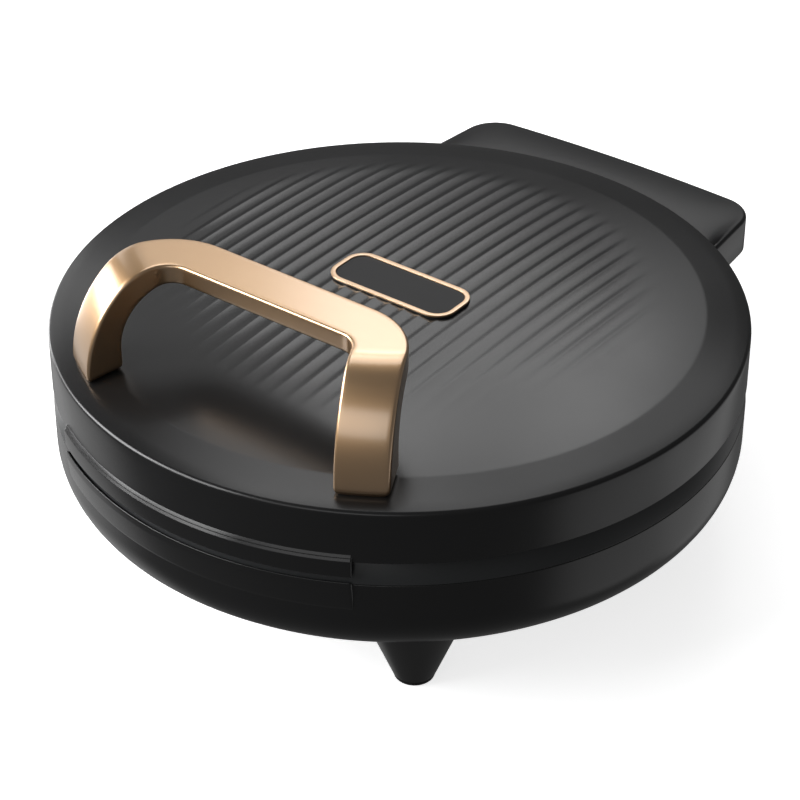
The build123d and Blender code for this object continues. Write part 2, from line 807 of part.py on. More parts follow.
def post_screws():
    """Screws from inside the base shell into the post."""
    shank, head, height = post_screw
    seat = math.sqrt(base_inner_radius ** 2 - (post_screw_x + head) ** 2) - screw_gap
    group = []
    for x in (-post_screw_x, post_screw_x):
        group.append(rod(x, post_screw_z, seat, body_radius + post_screw_reach, shank)
                     + rod(x, post_screw_z, seat - height, seat, head))
    return Compound(children=group)


def hinge_carriage():
    """The blade that slides in the post, with two lugs for the pin."""
    half = stem_thickness / 2
    carriage = bar(-lug_outer, lug_outer, hinge_y - half, hinge_y + half, stem_bottom, stem_top)
    for side in (-1, 1):
        inner, outer = side * (lug_outer - lug_width), side * lug_outer
        lug = bar(inner, outer, hinge_y - half, hinge_y + half, stem_top - past, hinge_z)
        carriage += lug + axle((inner + outer) / 2, hinge_y, hinge_z, lug_radius, lug_width)
    return carriage - axle(0, hinge_y, hinge_z, pin_radius + pin_seat_gap, far)


clip_x = arm_outer + clip_gap + clip_thickness / 2
pin_half_length = clip_x + clip_thickness / 2 + pin_end


def hinge_pin():
    """The pin that carries the lid's arms."""
    pin = axle(0, hinge_y, hinge_z, pin_radius, 2 * pin_half_length)
    width = clip_thickness + seat_gap
    for x in (-clip_x, clip_x):
        pin -= axle(x, hinge_y, hinge_z, pin_radius + past, width) - axle(x, hinge_y, hinge_z,
                                                                          pin_radius - clip_groove, width)
    return pin


def pin_clips():
    """Retaining rings in the grooves at the pin's ends."""
    clip_radius = pin_radius + clip_wall
    group = []
    for x in (-clip_x, clip_x):
        ring = axle(x, hinge_y, hinge_z, clip_radius, clip_thickness)
        ring -= axle(x, hinge_y, hinge_z, pin_radius - clip_groove + screw_gap, clip_thickness)
        group.append(ring - bar(x - past, x + past, hinge_y - clip_mouth / 2, hinge_y + clip_mouth / 2,
                                hinge_z, hinge_z + clip_radius))
    return Compound(children=group)


def hinge_arms():
    """Two steel arms from the lid to the pin, with tabs for their screws."""
    tab_bottom = arm_top - tab_thickness
    group = []
    for side in (-1, 1):
        inner, outer = side * arm_inner, side * arm_outer
        tab_end = side * (arm_outer + tab_reach)
        arm = bar(inner, outer, arm_front, hinge_y, arm_bottom, arm_top)
        arm += axle((inner + outer) / 2, hinge_y, hinge_z, arm_end_radius, arm_thickness)
        arm += bar(inner, tab_end, arm_front, arm_front + tab_length, tab_bottom, arm_top)
        arm += bar(inner, tab_end, hinge_y - rear_tab_length, hinge_y, tab_bottom, arm_top)
        arm -= axle(0, hinge_y, hinge_z, pin_radius + pin_gap, far)
        arm -= disc(side * arm_screw_x, arm_screw_y, arm_bottom, arm_top + past, arm_screw[0] + hole_gap)
        arm -= disc(side * cover_screw_x, cover_screw_y, arm_bottom, arm_top + past, small_screw[0] + hole_gap)
        group.append(arm)
    return Compound(children=group)


def arm_screws():
    """Screws that hold the arms to the lid's bosses."""
    seat = arm_top - tab_thickness
    tip = arm_top + arm_screw_reach
    return Compound(children=[upright_screw(side * arm_screw_x, arm_screw_y, seat, tip, arm_screw)
                              for side in (-1, 1)])


def cover_screws():
    """Screws that hold the hinge cover to the arms."""
    seat = arm_top - tab_thickness
    tip = arm_top + cover_screw_reach
    return Compound(children=[upright_screw(side * cover_screw_x, cover_screw_y, seat, tip, small_screw)
                              for side in (-1, 1)])


def cover_plan(inset=0.0):
    """The hinge cover from above: slightly flared sides and a gently bowed back."""
    half = cover_half_width - inset
    back = cover_back - inset
    edges = [Line((half + cover_flare, cover_front), (half, back - cover_bow)),
             ThreePointArc((half, back - cover_bow), (0, back), (-half, back - cover_bow)),
             Line((-half, back - cover_bow), (-half - cover_flare, cover_front)),
             Line((-half - cover_flare, cover_front), (half + cover_flare, cover_front))]
    plan = make_face(Wire(edges))
    corners = [v for v in plan.vertices() if v.Y > body_radius]
    return fillet(corners, cover_corner - inset)


def hinge_cover():
    """The housing behind the lid, open below and notched for the carriage."""
    ceiling = cover_top - shell_wall
    cover = Pos(0, 0, cover_bottom) * extrude(cover_plan(), cover_height)
    cover = fillet(cover.edges().filter_by(is_cover_top_edge), cover_edge)
    cover -= Pos(0, 0, cover_bottom - past) * extrude(cover_plan(shell_wall), ceiling - cover_bottom + past)
    for side in (-1, 1):
        x = side * cover_screw_x
        cover += disc(x, cover_screw_y, arm_top, ceiling + past, cover_boss_radius)
        cover -= disc(x, cover_screw_y, arm_top - past, arm_top + cover_screw_reach + hole_gap,
                      small_screw[0] + screw_gap)
    cover -= bar(-cover_notch_half_width, cover_notch_half_width, hinge_y + lug_radius, cover_back + past,
                 cover_bottom - past, ceiling)
    return cover - disc(0, 0, cover_bottom - past, cover_top + past, body_radius + seat_gap)


def is_cover_top_edge(edge):
    """Whether an edge bounds the cover's top, behind the lid."""
    box = edge.bounding_box()
    return box.min.Z > cover_top - 0.01 and box.max.Y > cover_front + past


def save(name, shape):
    """Move one sub-part to the part's own origin and write it."""
    export_step(Pos(0, axis_shift, 0) * shape, f"parts/{name}.step")


bowl = base_shell()
lower_heater_z = lower_floor_bottom - heater_tube - seat_gap
upper_heater_z = upper_floor_top + heater_tube + seat_gap

pieces = {
    "base_shell": bowl,
    "base_collar": base_collar(),
    "lower_plate": lower_plate(),
    "lower_heater": tube_heater(lower_heater_z, -1, lower_shield_top - heater_tail),
    "lower_heat_shield": lower_shield(),
    "lower_thermostat": thermostat(lower_floor_bottom, -1),
    "thermal_fuse": thermal_fuse(),
    "fuse_clip": fuse_clip(),
    "terminal_block": terminal_block(),
    "cord_gland": cord_gland(bowl),
    "plate_screws": plate_screws(),
    "feet": feet(),
    "foot_pads": foot_pads(),
    "foot_screws": foot_screws(),
    "hinge_post": hinge_post(),
    "post_screws": post_screws(),
    "hinge_carriage": hinge_carriage(),
    "hinge_pin": hinge_pin(),
    "pin_clips": pin_clips(),
    "lid_shell": lid_shell(),
    "lid_frame": lid_frame(),
    "upper_plate": upper_plate(),
    "upper_heater": tube_heater(upper_heater_z, 1, upper_shield_bottom + heater_tail),
    "upper_heat_shield": upper_shield(),
    "upper_thermostat": thermostat(upper_floor_top, 1),
    "rim_screws": rim_screws(),
    "shield_screws": shield_screws(),
    "handle": handle(),
    "handle_screws": handle_screws(),
    "nameplate_frame": nameplate_frame(),
    "nameplate_insert": nameplate_insert(),
    "hinge_arms": hinge_arms(),
    "arm_screws": arm_screws(),
    "hinge_cover": hinge_cover(),
    "cover_screws": cover_screws(),
}

os.makedirs("parts", exist_ok=True)
for name, shape in pieces.items():
    save(name, shape)
    print(name, len(shape.solids()))
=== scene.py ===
"""Looks of a clamshell griddle, built round its packed construction.

The construction's frame is kept: +Z up, the handle towards -Y and the hinge towards +Y. Shapes are
worked out in millimetres about the upright axis of the round body, with the ground at height zero,
and are moved into the frame, in metres, when a mesh is made.
"""
from __future__ import annotations

import json
import logging
import math
from dataclasses import dataclass, field
from enum import Enum

import bmesh
import bpy
import numpy as np
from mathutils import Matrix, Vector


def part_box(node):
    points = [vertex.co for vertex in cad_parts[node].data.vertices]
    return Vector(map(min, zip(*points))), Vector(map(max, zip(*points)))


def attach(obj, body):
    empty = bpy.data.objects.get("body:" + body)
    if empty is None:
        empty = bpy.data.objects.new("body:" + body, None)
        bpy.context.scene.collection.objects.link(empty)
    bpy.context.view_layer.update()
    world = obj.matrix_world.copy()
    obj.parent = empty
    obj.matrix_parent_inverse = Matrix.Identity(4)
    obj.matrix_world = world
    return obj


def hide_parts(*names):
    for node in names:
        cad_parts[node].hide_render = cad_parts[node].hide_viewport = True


log = logging.getLogger("griddle")
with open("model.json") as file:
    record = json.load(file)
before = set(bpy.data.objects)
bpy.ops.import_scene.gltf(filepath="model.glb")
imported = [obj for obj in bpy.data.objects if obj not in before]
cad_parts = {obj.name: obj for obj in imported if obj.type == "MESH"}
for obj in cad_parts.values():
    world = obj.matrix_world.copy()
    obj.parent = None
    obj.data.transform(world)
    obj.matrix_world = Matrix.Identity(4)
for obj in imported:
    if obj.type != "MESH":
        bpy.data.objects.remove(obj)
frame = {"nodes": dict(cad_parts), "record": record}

MM = 0.001
WELD_MM = 0.004
SHARP_DEGREES = 38.0


def axis_place() -> float:
    """The Y place, in metres, of the round body's axis, read from its collar."""
    low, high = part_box("base_collar")
    return (low[1] + high[1]) / 2


AXIS_Y = axis_place()


def box_mm(name: str) -> np.ndarray:
    """The lowest and highest corner of a construction node, in millimetres about the body's axis."""
    return np.round((np.array(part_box(name), dtype=float) - np.array([0, AXIS_Y, 0])) / MM, 2)


COLLAR_LOW, COLLAR_HIGH = box_mm("base_collar")
SHELL_LOW, SHELL_HIGH = box_mm("lid_shell")
BOWL_LOW, _ = box_mm("base_shell")
BORDER_LOW, BORDER_HIGH = box_mm("nameplate_frame")
COVER_LOW, COVER_HIGH = box_mm("hinge_cover")
_, CARRIAGE_HIGH = box_mm("hinge_carriage")
_, HANDLE_HIGH = box_mm("handle")


class Body(Enum):
    """The bodies that a new piece can ride on."""

    BASE = "base"
    LID = "lid"


class Meeting(Enum):
    """What one closed piece does to another."""

    CUT = "DIFFERENCE"
    JOIN = "UNION"


def linear(hex_colour: str) -> tuple[float, float, float, float]:
    """Turns an sRGB hex colour into linear light.

    Args:
        hex_colour: six hex digits.

    Returns:
        Red, green, blue and an alpha of one.
    """
    parts = [int(hex_colour[i:i + 2], 16) / 255 for i in (0, 2, 4)]
    light = [p / 12.92 if p <= 0.04045 else ((p + 0.055) / 1.055) ** 2.4 for p in parts]
    return light[0], light[1], light[2], 1.0


def smooth(low: float, high: float, value: np.ndarray) -> np.ndarray:
    """Rises from 0 at low to 1 at high along three t squared minus two t cubed."""
    t = np.clip((value - low) / (high - low), 0.0, 1.0)
    return t * t * (3 - 2 * t)


def even_turns(count: int) -> np.ndarray:
    """Evenly spaced turns round a full circle, in radians."""
    return np.linspace(0, 2 * math.pi, count, endpoint=False)


def raised(plan: np.ndarray, height: float | np.ndarray) -> np.ndarray:
    """Puts points seen from above at a height."""
    return np.column_stack([plan, np.broadcast_to(height, len(plan))])


def arc(centre: tuple[float, float], radius: float, start: float, end: float, count: int) -> np.ndarray:
    """Points on an arc, by degrees: the centre plus the radius times the turn's cosine and sine."""
    turn = np.radians(np.linspace(start, end, count))
    return np.stack([centre[0] + radius * np.cos(turn), centre[1] + radius * np.sin(turn)], axis=1)


def rounded(corners: list[tuple[float, ...]], steps: int = 6, closed: bool = True) -> np.ndarray:
    """Turns corners into a path whose corners are arcs tangent to both sides.

    A corner of radius R and half angle h is cut R over tangent h before it, and its arc's centre
    lies R over sine h along the bisector.

    Args:
        corners: (x, y) or (x, y, radius) of each corner.
        steps: points on each arc, less one.
        closed: whether the last corner joins the first.

    Returns:
        The path's points.
    """
    count = len(corners)
    path = []
    for i, corner in enumerate(corners):
        here = np.array(corner[:2], dtype=float)
        if len(corner) < 3 or not (closed or 0 < i < count - 1):
            path.append(here[None])
            continue
        back = np.array(corners[i - 1][:2], dtype=float) - here
        ahead = np.array(corners[(i + 1) % count][:2], dtype=float) - here
        back /= np.linalg.norm(back)
        ahead /= np.linalg.norm(ahead)
        half = math.acos(float(np.clip(back @ ahead, -1, 1))) / 2
        bisector = (back + ahead) / np.linalg.norm(back + ahead)
        centre = here + bisector * corner[2] / math.sin(half)
        first = here + back * corner[2] / math.tan(half) - centre
        last = here + ahead * corner[2] / math.tan(half) - centre
        share = np.linspace(0, 1, steps + 1)[:, None]
        sweep = math.acos(float(np.clip(first @ last / corner[2] ** 2, -1, 1)))
        spoke = (np.sin((1 - share) * sweep) * first + np.sin(share * sweep) * last) / math.sin(sweep)
        path.append(centre + spoke)
    return np.concatenate(path)


def turned(radius: np.ndarray, height: np.ndarray, turns: np.ndarray) -> np.ndarray:
    """Points about the body's axis: radius times cosine, radius times sine, and the height."""
    return np.stack([radius * np.cos(turns), radius * np.sin(turns), height + 0 * turns], axis=-1)


def spun(profile: np.ndarray, turns: np.ndarray) -> np.ndarray:
    """A grid from a profile of (radius, height) turned about the body's axis, in radians from +X."""
    return turned(profile[:, 0:1], profile[:, 1:2], turns)


def run_along(path: np.ndarray) -> np.ndarray:
    """The length run along a path at each of its points."""
    return np.concatenate([[0], np.cumsum(np.linalg.norm(np.diff(path, axis=0), axis=1))])


def at_runs(path: np.ndarray, run: np.ndarray, wanted: np.ndarray) -> np.ndarray:
    """The places on a path, whose points lie at the lengths in run, at the wanted lengths."""
    return np.stack([np.interp(wanted, run, axis) for axis in path.T], axis=1)


FULL_TURN = even_turns(360)


@dataclass
class Skin:
    """Grids of points gathered into one mesh, in millimetres about the body's axis."""

    points: list[np.ndarray] = field(default_factory=list)
    quads: list[np.ndarray] = field(default_factory=list)
    count: int = 0

    def add(self, grid: np.ndarray, wrap: bool = False, loop: bool = False) -> Skin:
        """Adds a grid of points and the quads between its neighbours.

        Args:
            grid: rows by columns by 3.
            wrap: whether the last column joins the first.
            loop: whether the last row joins the first.

        Returns:
            The skin itself.
        """
        rows, columns = grid.shape[:2]
        index = np.arange(rows * columns).reshape(rows, columns) + self.count
        if wrap:
            index = np.concatenate([index, index[:, :1]], axis=1)
        if loop:
            index = np.concatenate([index, index[:1]], axis=0)
        quads = np.stack([index[:-1, :-1], index[:-1, 1:], index[1:, 1:], index[1:, :-1]], axis=-1)
        self.points.append(grid.reshape(-1, 3))
        self.quads.append(quads.reshape(-1, 4))
        self.count += rows * columns
        return self

    def build(self, name: str) -> bpy.types.Object:
        """Makes the piece: welds seams and poles, fills flat ends and turns faces outwards.

        Args:
            name: the piece's name.

        Returns:
            Its object, at the origin.
        """
        points = np.concatenate(self.points) * MM + np.array([0, AXIS_Y, 0])
        mesh = bpy.data.meshes.new(name)
        mesh.from_pydata(points.tolist(), [], np.concatenate(self.quads).tolist())
        work = bmesh.new()
        work.from_mesh(mesh)
        bmesh.ops.remove_doubles(work, verts=work.verts, dist=WELD_MM * MM)
        bmesh.ops.dissolve_degenerate(work, edges=work.edges, dist=WELD_MM * MM)
        edge_loops = [e for e in work.edges if e.is_boundary]
        if edge_loops:
            bmesh.ops.holes_fill(work, edges=edge_loops, sides=0)
        bmesh.ops.recalc_face_normals(work, faces=work.faces)
        work.to_mesh(mesh)
        work.free()
        return shaded(mesh, name)


def shaded(mesh: bpy.types.Mesh, name: str) -> bpy.types.Object:
    """Shades a mesh smooth, with its sharp edges kept, and puts it in the scene.

    Args:
        mesh: the finished mesh.
        name: the piece's name.

    Returns:
        The piece's object.
    """
    mesh.shade_smooth()
    mesh.set_sharp_from_angle(angle=math.radians(SHARP_DEGREES))
    piece = bpy.data.objects.new(name, mesh)
    bpy.context.scene.collection.objects.link(piece)
    return piece


def met(piece: bpy.types.Object, other: bpy.types.Object, meeting: Meeting) -> bpy.types.Object:
    """Cuts one piece with another, or joins them, and keeps the result as a plain mesh.

    Args:
        piece: the piece that is kept.
        other: the piece that cuts it or joins it, and goes.
        meeting: which of the two it does.

    Returns:
        The new object, with the piece's name.
    """
    change = piece.modifiers.new("meeting", "BOOLEAN")
    change.object = other
    change.operation = meeting.value
    change.solver = "EXACT"
    ready = piece.evaluated_get(bpy.context.evaluated_depsgraph_get())
    mesh = bpy.data.meshes.new_from_object(ready)
    name = piece.name
    bpy.data.objects.remove(other)
    bpy.data.objects.remove(piece)
    mesh.name = name
    return shaded(mesh, name)


def node(tree: bpy.types.NodeTree, kind: str, inputs: dict | None = None,
         **settings: object) -> bpy.types.Node:
    """Adds a node with its settings, and sets or links its inputs.

    Args:
        tree: the material's or world's node tree.
        kind: the node's type.
        inputs: input names or numbers with a value or another node's output.
        settings: the node's own properties.

    Returns:
        The new node.
    """
    made = tree.nodes.new(kind)
    for key, value in settings.items():
        setattr(made, key, value)
    for key, value in (inputs or {}).items():
        if isinstance(value, bpy.types.NodeSocket):
            tree.links.new(value, made.inputs[key])
        else:
            made.inputs[key].default_value = value
    return made


@dataclass(frozen=True)
class Finish:
    """What every finish has: its name and a way to make its material."""

    name: str

    def material(self) -> bpy.types.Material:
        """Makes the material and fills its node tree.

        Returns:
            The material.
        """
        made = bpy.data.materials.new(self.name)
        made.use_nodes = True
        made.node_tree.nodes.clear()
        shader = self.shader(made.node_tree)
        node(made.node_tree, "ShaderNodeOutputMaterial", {"Surface": shader.outputs[0]})
        return made

    def shader(self, tree: bpy.types.NodeTree) -> bpy.types.Node:
        """Adds the finish's own nodes."""
        raise NotImplementedError

    def surface(self, tree: bpy.types.NodeTree, tones: tuple[bpy.types.NodeSocket, str, str],
                gloss: tuple[bpy.types.NodeSocket, float, float], relief: tuple[bpy.types.NodeSocket, float],
                more: dict | None = None) -> bpy.types.Node:
        """Adds the shader, with its colour, gloss and relief each led by a pattern.

        Args:
            tree: the material's node tree.
            tones: a pattern, and the colours where it is low and high.
            gloss: a pattern, and the roughness where it is low and high.
            relief: a pattern, and its height in millimetres.
            more: the shader's own further inputs.

        Returns:
            The shader.
        """
        colour = node(tree, "ShaderNodeMix", {"Factor": tones[0], "A": linear(tones[1]),
                                              "B": linear(tones[2])}, data_type="RGBA")
        rough = node(tree, "ShaderNodeMapRange", {"Value": gloss[0], "To Min": gloss[1], "To Max": gloss[2]})
        bump = node(tree, "ShaderNodeBump", {"Height": relief[0], "Distance": relief[1] * MM})
        return node(tree, "ShaderNodeBsdfPrincipled", {
            "Base Color": colour.outputs["Result"], "Roughness": rough.outputs["Result"],
            "Normal": bump.outputs["Normal"], **(more or {})})


@dataclass(frozen=True)
class MouldedPlastic(Finish):
    """Glass-filled thermoplastic from a spark-eroded mould: a satin skin over a very fine grain.

    The grain is drawn coarser than the real one, so that it shows.
    """

    colour: str = "171717"
    pale: str = "1b1b1c"
    roughness: float = 0.42
    spread: float = 0.04
    grain_mm: float = 0.55
    grain_depth_mm: float = 0.012
    flow_mm: float = 45.0

    def shader(self, tree: bpy.types.NodeTree) -> bpy.types.Node:
        """Slow flow marks vary colour and gloss; the mould's grain is a bump.

        Args:
            tree: the material's node tree.

        Returns:
            The shader.
        """
        place = node(tree, "ShaderNodeTexCoord").outputs["Object"]
        flow = node(tree, "ShaderNodeTexNoise", {
            "Vector": place, "Scale": 1 / (self.flow_mm * MM), "Detail": 3.0,
            "Roughness": 0.55}).outputs["Fac"]
        grain = node(tree, "ShaderNodeTexNoise", {
            "Vector": place, "Scale": 1 / (self.grain_mm * MM), "Detail": 2.0,
            "Roughness": 0.6}).outputs["Fac"]
        return self.surface(tree, (flow, self.colour, self.pale),
                            (flow, self.roughness - self.spread, self.roughness + self.spread),
                            (grain, self.grain_depth_mm), {"IOR": 1.5})


@dataclass(frozen=True)
class MetalLacquer(Finish):
    """Champagne gold: plastic metallised in a vacuum under a clear satin lacquer with fine flake.

    The tinted metal gives the warm colour, and the clear lacquer the paler highlight over it. The
    flake is drawn coarser than the real one, so that it shows.
    """

    colour: str = "cda170"
    pale: str = "d6ae7e"
    roughness: float = 0.36
    spread: float = 0.05
    lacquer_gloss: float = 0.18
    lacquer_ior: float = 2.3
    flake_mm: float = 0.6
    flake_depth_mm: float = 0.006
    drift_mm: float = 30.0

    def shader(self, tree: bpy.types.NodeTree) -> bpy.types.Node:
        """Slow drift in the lacquer's tone, and a fine flake that breaks up the gloss.

        Args:
            tree: the material's node tree.

        Returns:
            The shader.
        """
        place = node(tree, "ShaderNodeTexCoord").outputs["Object"]
        drift = node(tree, "ShaderNodeTexNoise", {
            "Vector": place, "Scale": 1 / (self.drift_mm * MM), "Detail": 2.0}).outputs["Fac"]
        flake = node(tree, "ShaderNodeTexNoise", {
            "Vector": place, "Scale": 1 / (self.flake_mm * MM), "Detail": 3.0,
            "Roughness": 0.7}).outputs["Fac"]
        return self.surface(tree, (drift, self.colour, self.pale),
                            (flake, self.roughness - self.spread, self.roughness + self.spread),
                            (flake, self.flake_depth_mm), {
                                "Metallic": 1.0, "Coat Weight": 1.0, "Coat IOR": self.lacquer_ior,
                                "Coat Roughness": self.lacquer_gloss})


@dataclass(frozen=True)
class NonStickCoating(Finish):
    """Sprayed dark coating on die-cast aluminium: a soft orange peel with pale mineral specks."""

    colour: str = "262627"
    speck: str = "5c5b59"
    roughness: float = 0.4
    spread: float = 0.07
    speck_mm: float = 1.6
    speck_size: float = 0.16
    peel_mm: float = 2.4
    peel_depth_mm: float = 0.03

    def shader(self, tree: bpy.types.NodeTree) -> bpy.types.Node:
        """Specks where a cell pattern's distance is small, over the peel's bump.

        Args:
            tree: the material's node tree.

        Returns:
            The shader.
        """
        place = node(tree, "ShaderNodeTexCoord").outputs["Object"]
        cells = node(tree, "ShaderNodeTexVoronoi", {"Vector": place, "Scale": 1 / (self.speck_mm * MM)})
        spots = node(tree, "ShaderNodeMapRange", {
            "Value": cells.outputs["Distance"], "From Min": self.speck_size,
            "From Max": self.speck_size * 0.6})
        peel = node(tree, "ShaderNodeTexNoise", {
            "Vector": place, "Scale": 1 / (self.peel_mm * MM), "Detail": 2.0}).outputs["Fac"]
        return self.surface(tree, (spots.outputs["Result"], self.colour, self.speck),
                            (peel, self.roughness - self.spread, self.roughness + self.spread),
                            (peel, self.peel_depth_mm))


@dataclass(frozen=True)
class WorkedMetal(Finish):
    """Sheet or bar metal: drawn or rolled lines one way, and a slow stain over them.

    The lines are drawn coarser than the real ones, so that they show.
    """

    colour: str = "b9b9bd"
    stain: str = "8f8f94"
    roughness: float = 0.34
    smoother: float = 0.08
    rougher: float = 0.1
    line_mm: float = 0.5
    run_mm: float = 30.0
    line_depth_mm: float = 0.006
    stain_mm: float = 18.0

    def shader(self, tree: bpy.types.NodeTree) -> bpy.types.Node:
        """Lines are noise stretched along Y; the stain tints the metal.

        Args:
            tree: the material's node tree.

        Returns:
            The shader.
        """
        place = node(tree, "ShaderNodeTexCoord").outputs["Object"]
        stretched = node(tree, "ShaderNodeMapping", {"Vector": place, "Scale": (
            1 / (self.line_mm * MM), 1 / (self.run_mm * MM), 1 / (self.line_mm * MM))}).outputs["Vector"]
        lines = node(tree, "ShaderNodeTexNoise", {
            "Vector": stretched, "Scale": 1.0, "Detail": 2.0}).outputs["Fac"]
        stain = node(tree, "ShaderNodeTexNoise", {
            "Vector": place, "Scale": 1 / (self.stain_mm * MM), "Detail": 4.0}).outputs["Fac"]
        return self.surface(tree, (stain, self.colour, self.stain),
                            (lines, self.roughness - self.smoother, self.roughness + self.rougher),
                            (lines, self.line_depth_mm), {"Metallic": 1.0})


SLOT_FINISH: dict[str, Finish] = {
    "shell_black": MouldedPlastic("shell_moulding", roughness=0.24),
    # The collar's own dark grey, painted lighter: the lighter tone is painted light standing in for the
    # light that its sloping face catches.
    "collar_black": MouldedPlastic("collar_moulding_painted_lighter", colour="27292a", pale="2c2d2e", roughness=0.34),
    "cover_black": MouldedPlastic("cover_moulding", colour="161617", roughness=0.3),
    "champagne_gold": MetalLacquer("champagne_lacquer"),
    "nameplate_dark": MouldedPlastic("nameplate_panel", colour="141415", pale="1a1a1b", roughness=0.6,
                                     spread=0.03, grain_mm=0.35, grain_depth_mm=0.004),
    "coated_aluminium": NonStickCoating("non_stick_coating"),
    "heater_steel": WorkedMetal("heat_tinted_steel", colour="7a6a58", stain="4d4a52", roughness=0.42,
                                stain_mm=12.0),
    "shield_aluminium": WorkedMetal("rolled_aluminium", colour="d5d6d8", stain="b7b8bb", roughness=0.3),
    "plain_steel": WorkedMetal("zinc_plated_steel"),
    "pin_steel": WorkedMetal("turned_steel", colour="c4c4c6", stain="a9a9ad", roughness=0.25),
    "screw_steel": WorkedMetal("screw_steel", colour="a8a8aa", stain="86868a", roughness=0.3,
                               line_mm=0.3),
    "phenolic": MouldedPlastic("thermostat_phenolic", colour="2a1f1a", pale="33261f", roughness=0.45),
    "fuse_metal": WorkedMetal("tinned_case", colour="cfcfcf", stain="a8a8a8", roughness=0.28),
    "terminal_white": MouldedPlastic("block_nylon", colour="d8d4c8", pale="e2dfd4", roughness=0.5),
    "gland_black": MouldedPlastic("gland_nylon", colour="151515", pale="1c1c1c", roughness=0.5),
    "foot_black": MouldedPlastic("foot_moulding", pale="1d1d1d", roughness=0.32),
    "pad_rubber": MouldedPlastic("pad_rubber", colour="0d0d0d", pale="131313", roughness=0.75,
                                 grain_mm=0.4)}


class Dresser:
    """Makes each material once, and gives pieces and construction nodes theirs."""

    def __init__(self) -> None:
        """Starts with no materials made."""
        self.made: dict[str, bpy.types.Material] = {}

    def material(self, slot: str) -> bpy.types.Material:
        """The material of a slot, made when first asked for.

        Args:
            slot: the slot's name in the record.

        Returns:
            Its material.
        """
        if slot not in self.made:
            self.made[slot] = SLOT_FINISH[slot].material()
        return self.made[slot]

    def dress(self, piece: bpy.types.Object, body: Body, node_name: str, slot: str) -> None:
        """Finishes a new piece: material, body, slot and the construction node it stands for.

        Args:
            piece: the new piece.
            body: the body it rides on.
            node_name: the node that it replaces.
            slot: the material slot of the record.
        """
        piece.data.materials.clear()
        piece.data.materials.append(self.material(slot))
        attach(piece, body.value)
        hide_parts(node_name)
        faces = len(piece.data.polygons)
        log.info("%s stands for %s on %s: %d faces", piece.name, node_name, body.value, faces)

    def dress_nodes(self) -> None:
        """Gives every construction node the material of its own slot."""
        slots = {row["node"]: row["material_slot"] for row in frame["record"]["subparts"]}
        for name, shown in frame["nodes"].items():
            for place in shown.material_slots:
                place.material = self.material(slots[name])


@dataclass
class Round:
    """Sizes that the sub-assemblies share, in millimetres."""

    radius: float = float(COLLAR_HIGH[0])
    wall: float = 2.5
    front_half_angle: float = 30.0
    front_reach: float = float(-SHELL_LOW[1])
    floor: float = float(BOWL_LOW[2])
    corner: float = 25.0
    collar_top: float = float(COLLAR_HIGH[2])
    collar_inset: float = 5.0
    spigot: float = 5.5
    lid_gap: float = 1.0
    skirt: float = 26.0
    ring_width: float = 20.8
    ring_rise: float = 3.95
    tongue_bottom: float = float(SHELL_LOW[2])

    @property
    def wall_top(self) -> float:
        """Height of the bowl's wall."""
        return float(COLLAR_LOW[2]) + self.spigot

    @property
    def bottom(self) -> float:
        """Height of the skirt's lower edge."""
        return self.collar_top + self.lid_gap

    @property
    def rim(self) -> float:
        """Height of the lid's rim."""
        return self.bottom + self.skirt

    def front_run(self, end_round: float, least: float) -> tuple[np.ndarray, np.ndarray]:
        """Places along the front for a part that stands proud of the wall.

        Over the last stretch before each end it swells out along a quarter circle.

        Args:
            end_round: length of that stretch.
            least: the share of it that counts at the very end.

        Returns:
            The turns in radians, and how far it has swelled there, from 0 to 1.
        """
        length = math.radians(self.front_half_angle) * self.radius
        end = np.linspace(length - end_round, length, 9)[1:]
        along = np.concatenate([-end[::-1], np.linspace(end_round - length, length - end_round, 90), end])
        share = np.clip((length - np.abs(along)) / end_round, least, 1)
        return along / self.radius - math.pi / 2, np.sqrt(1 - (1 - share) ** 2)


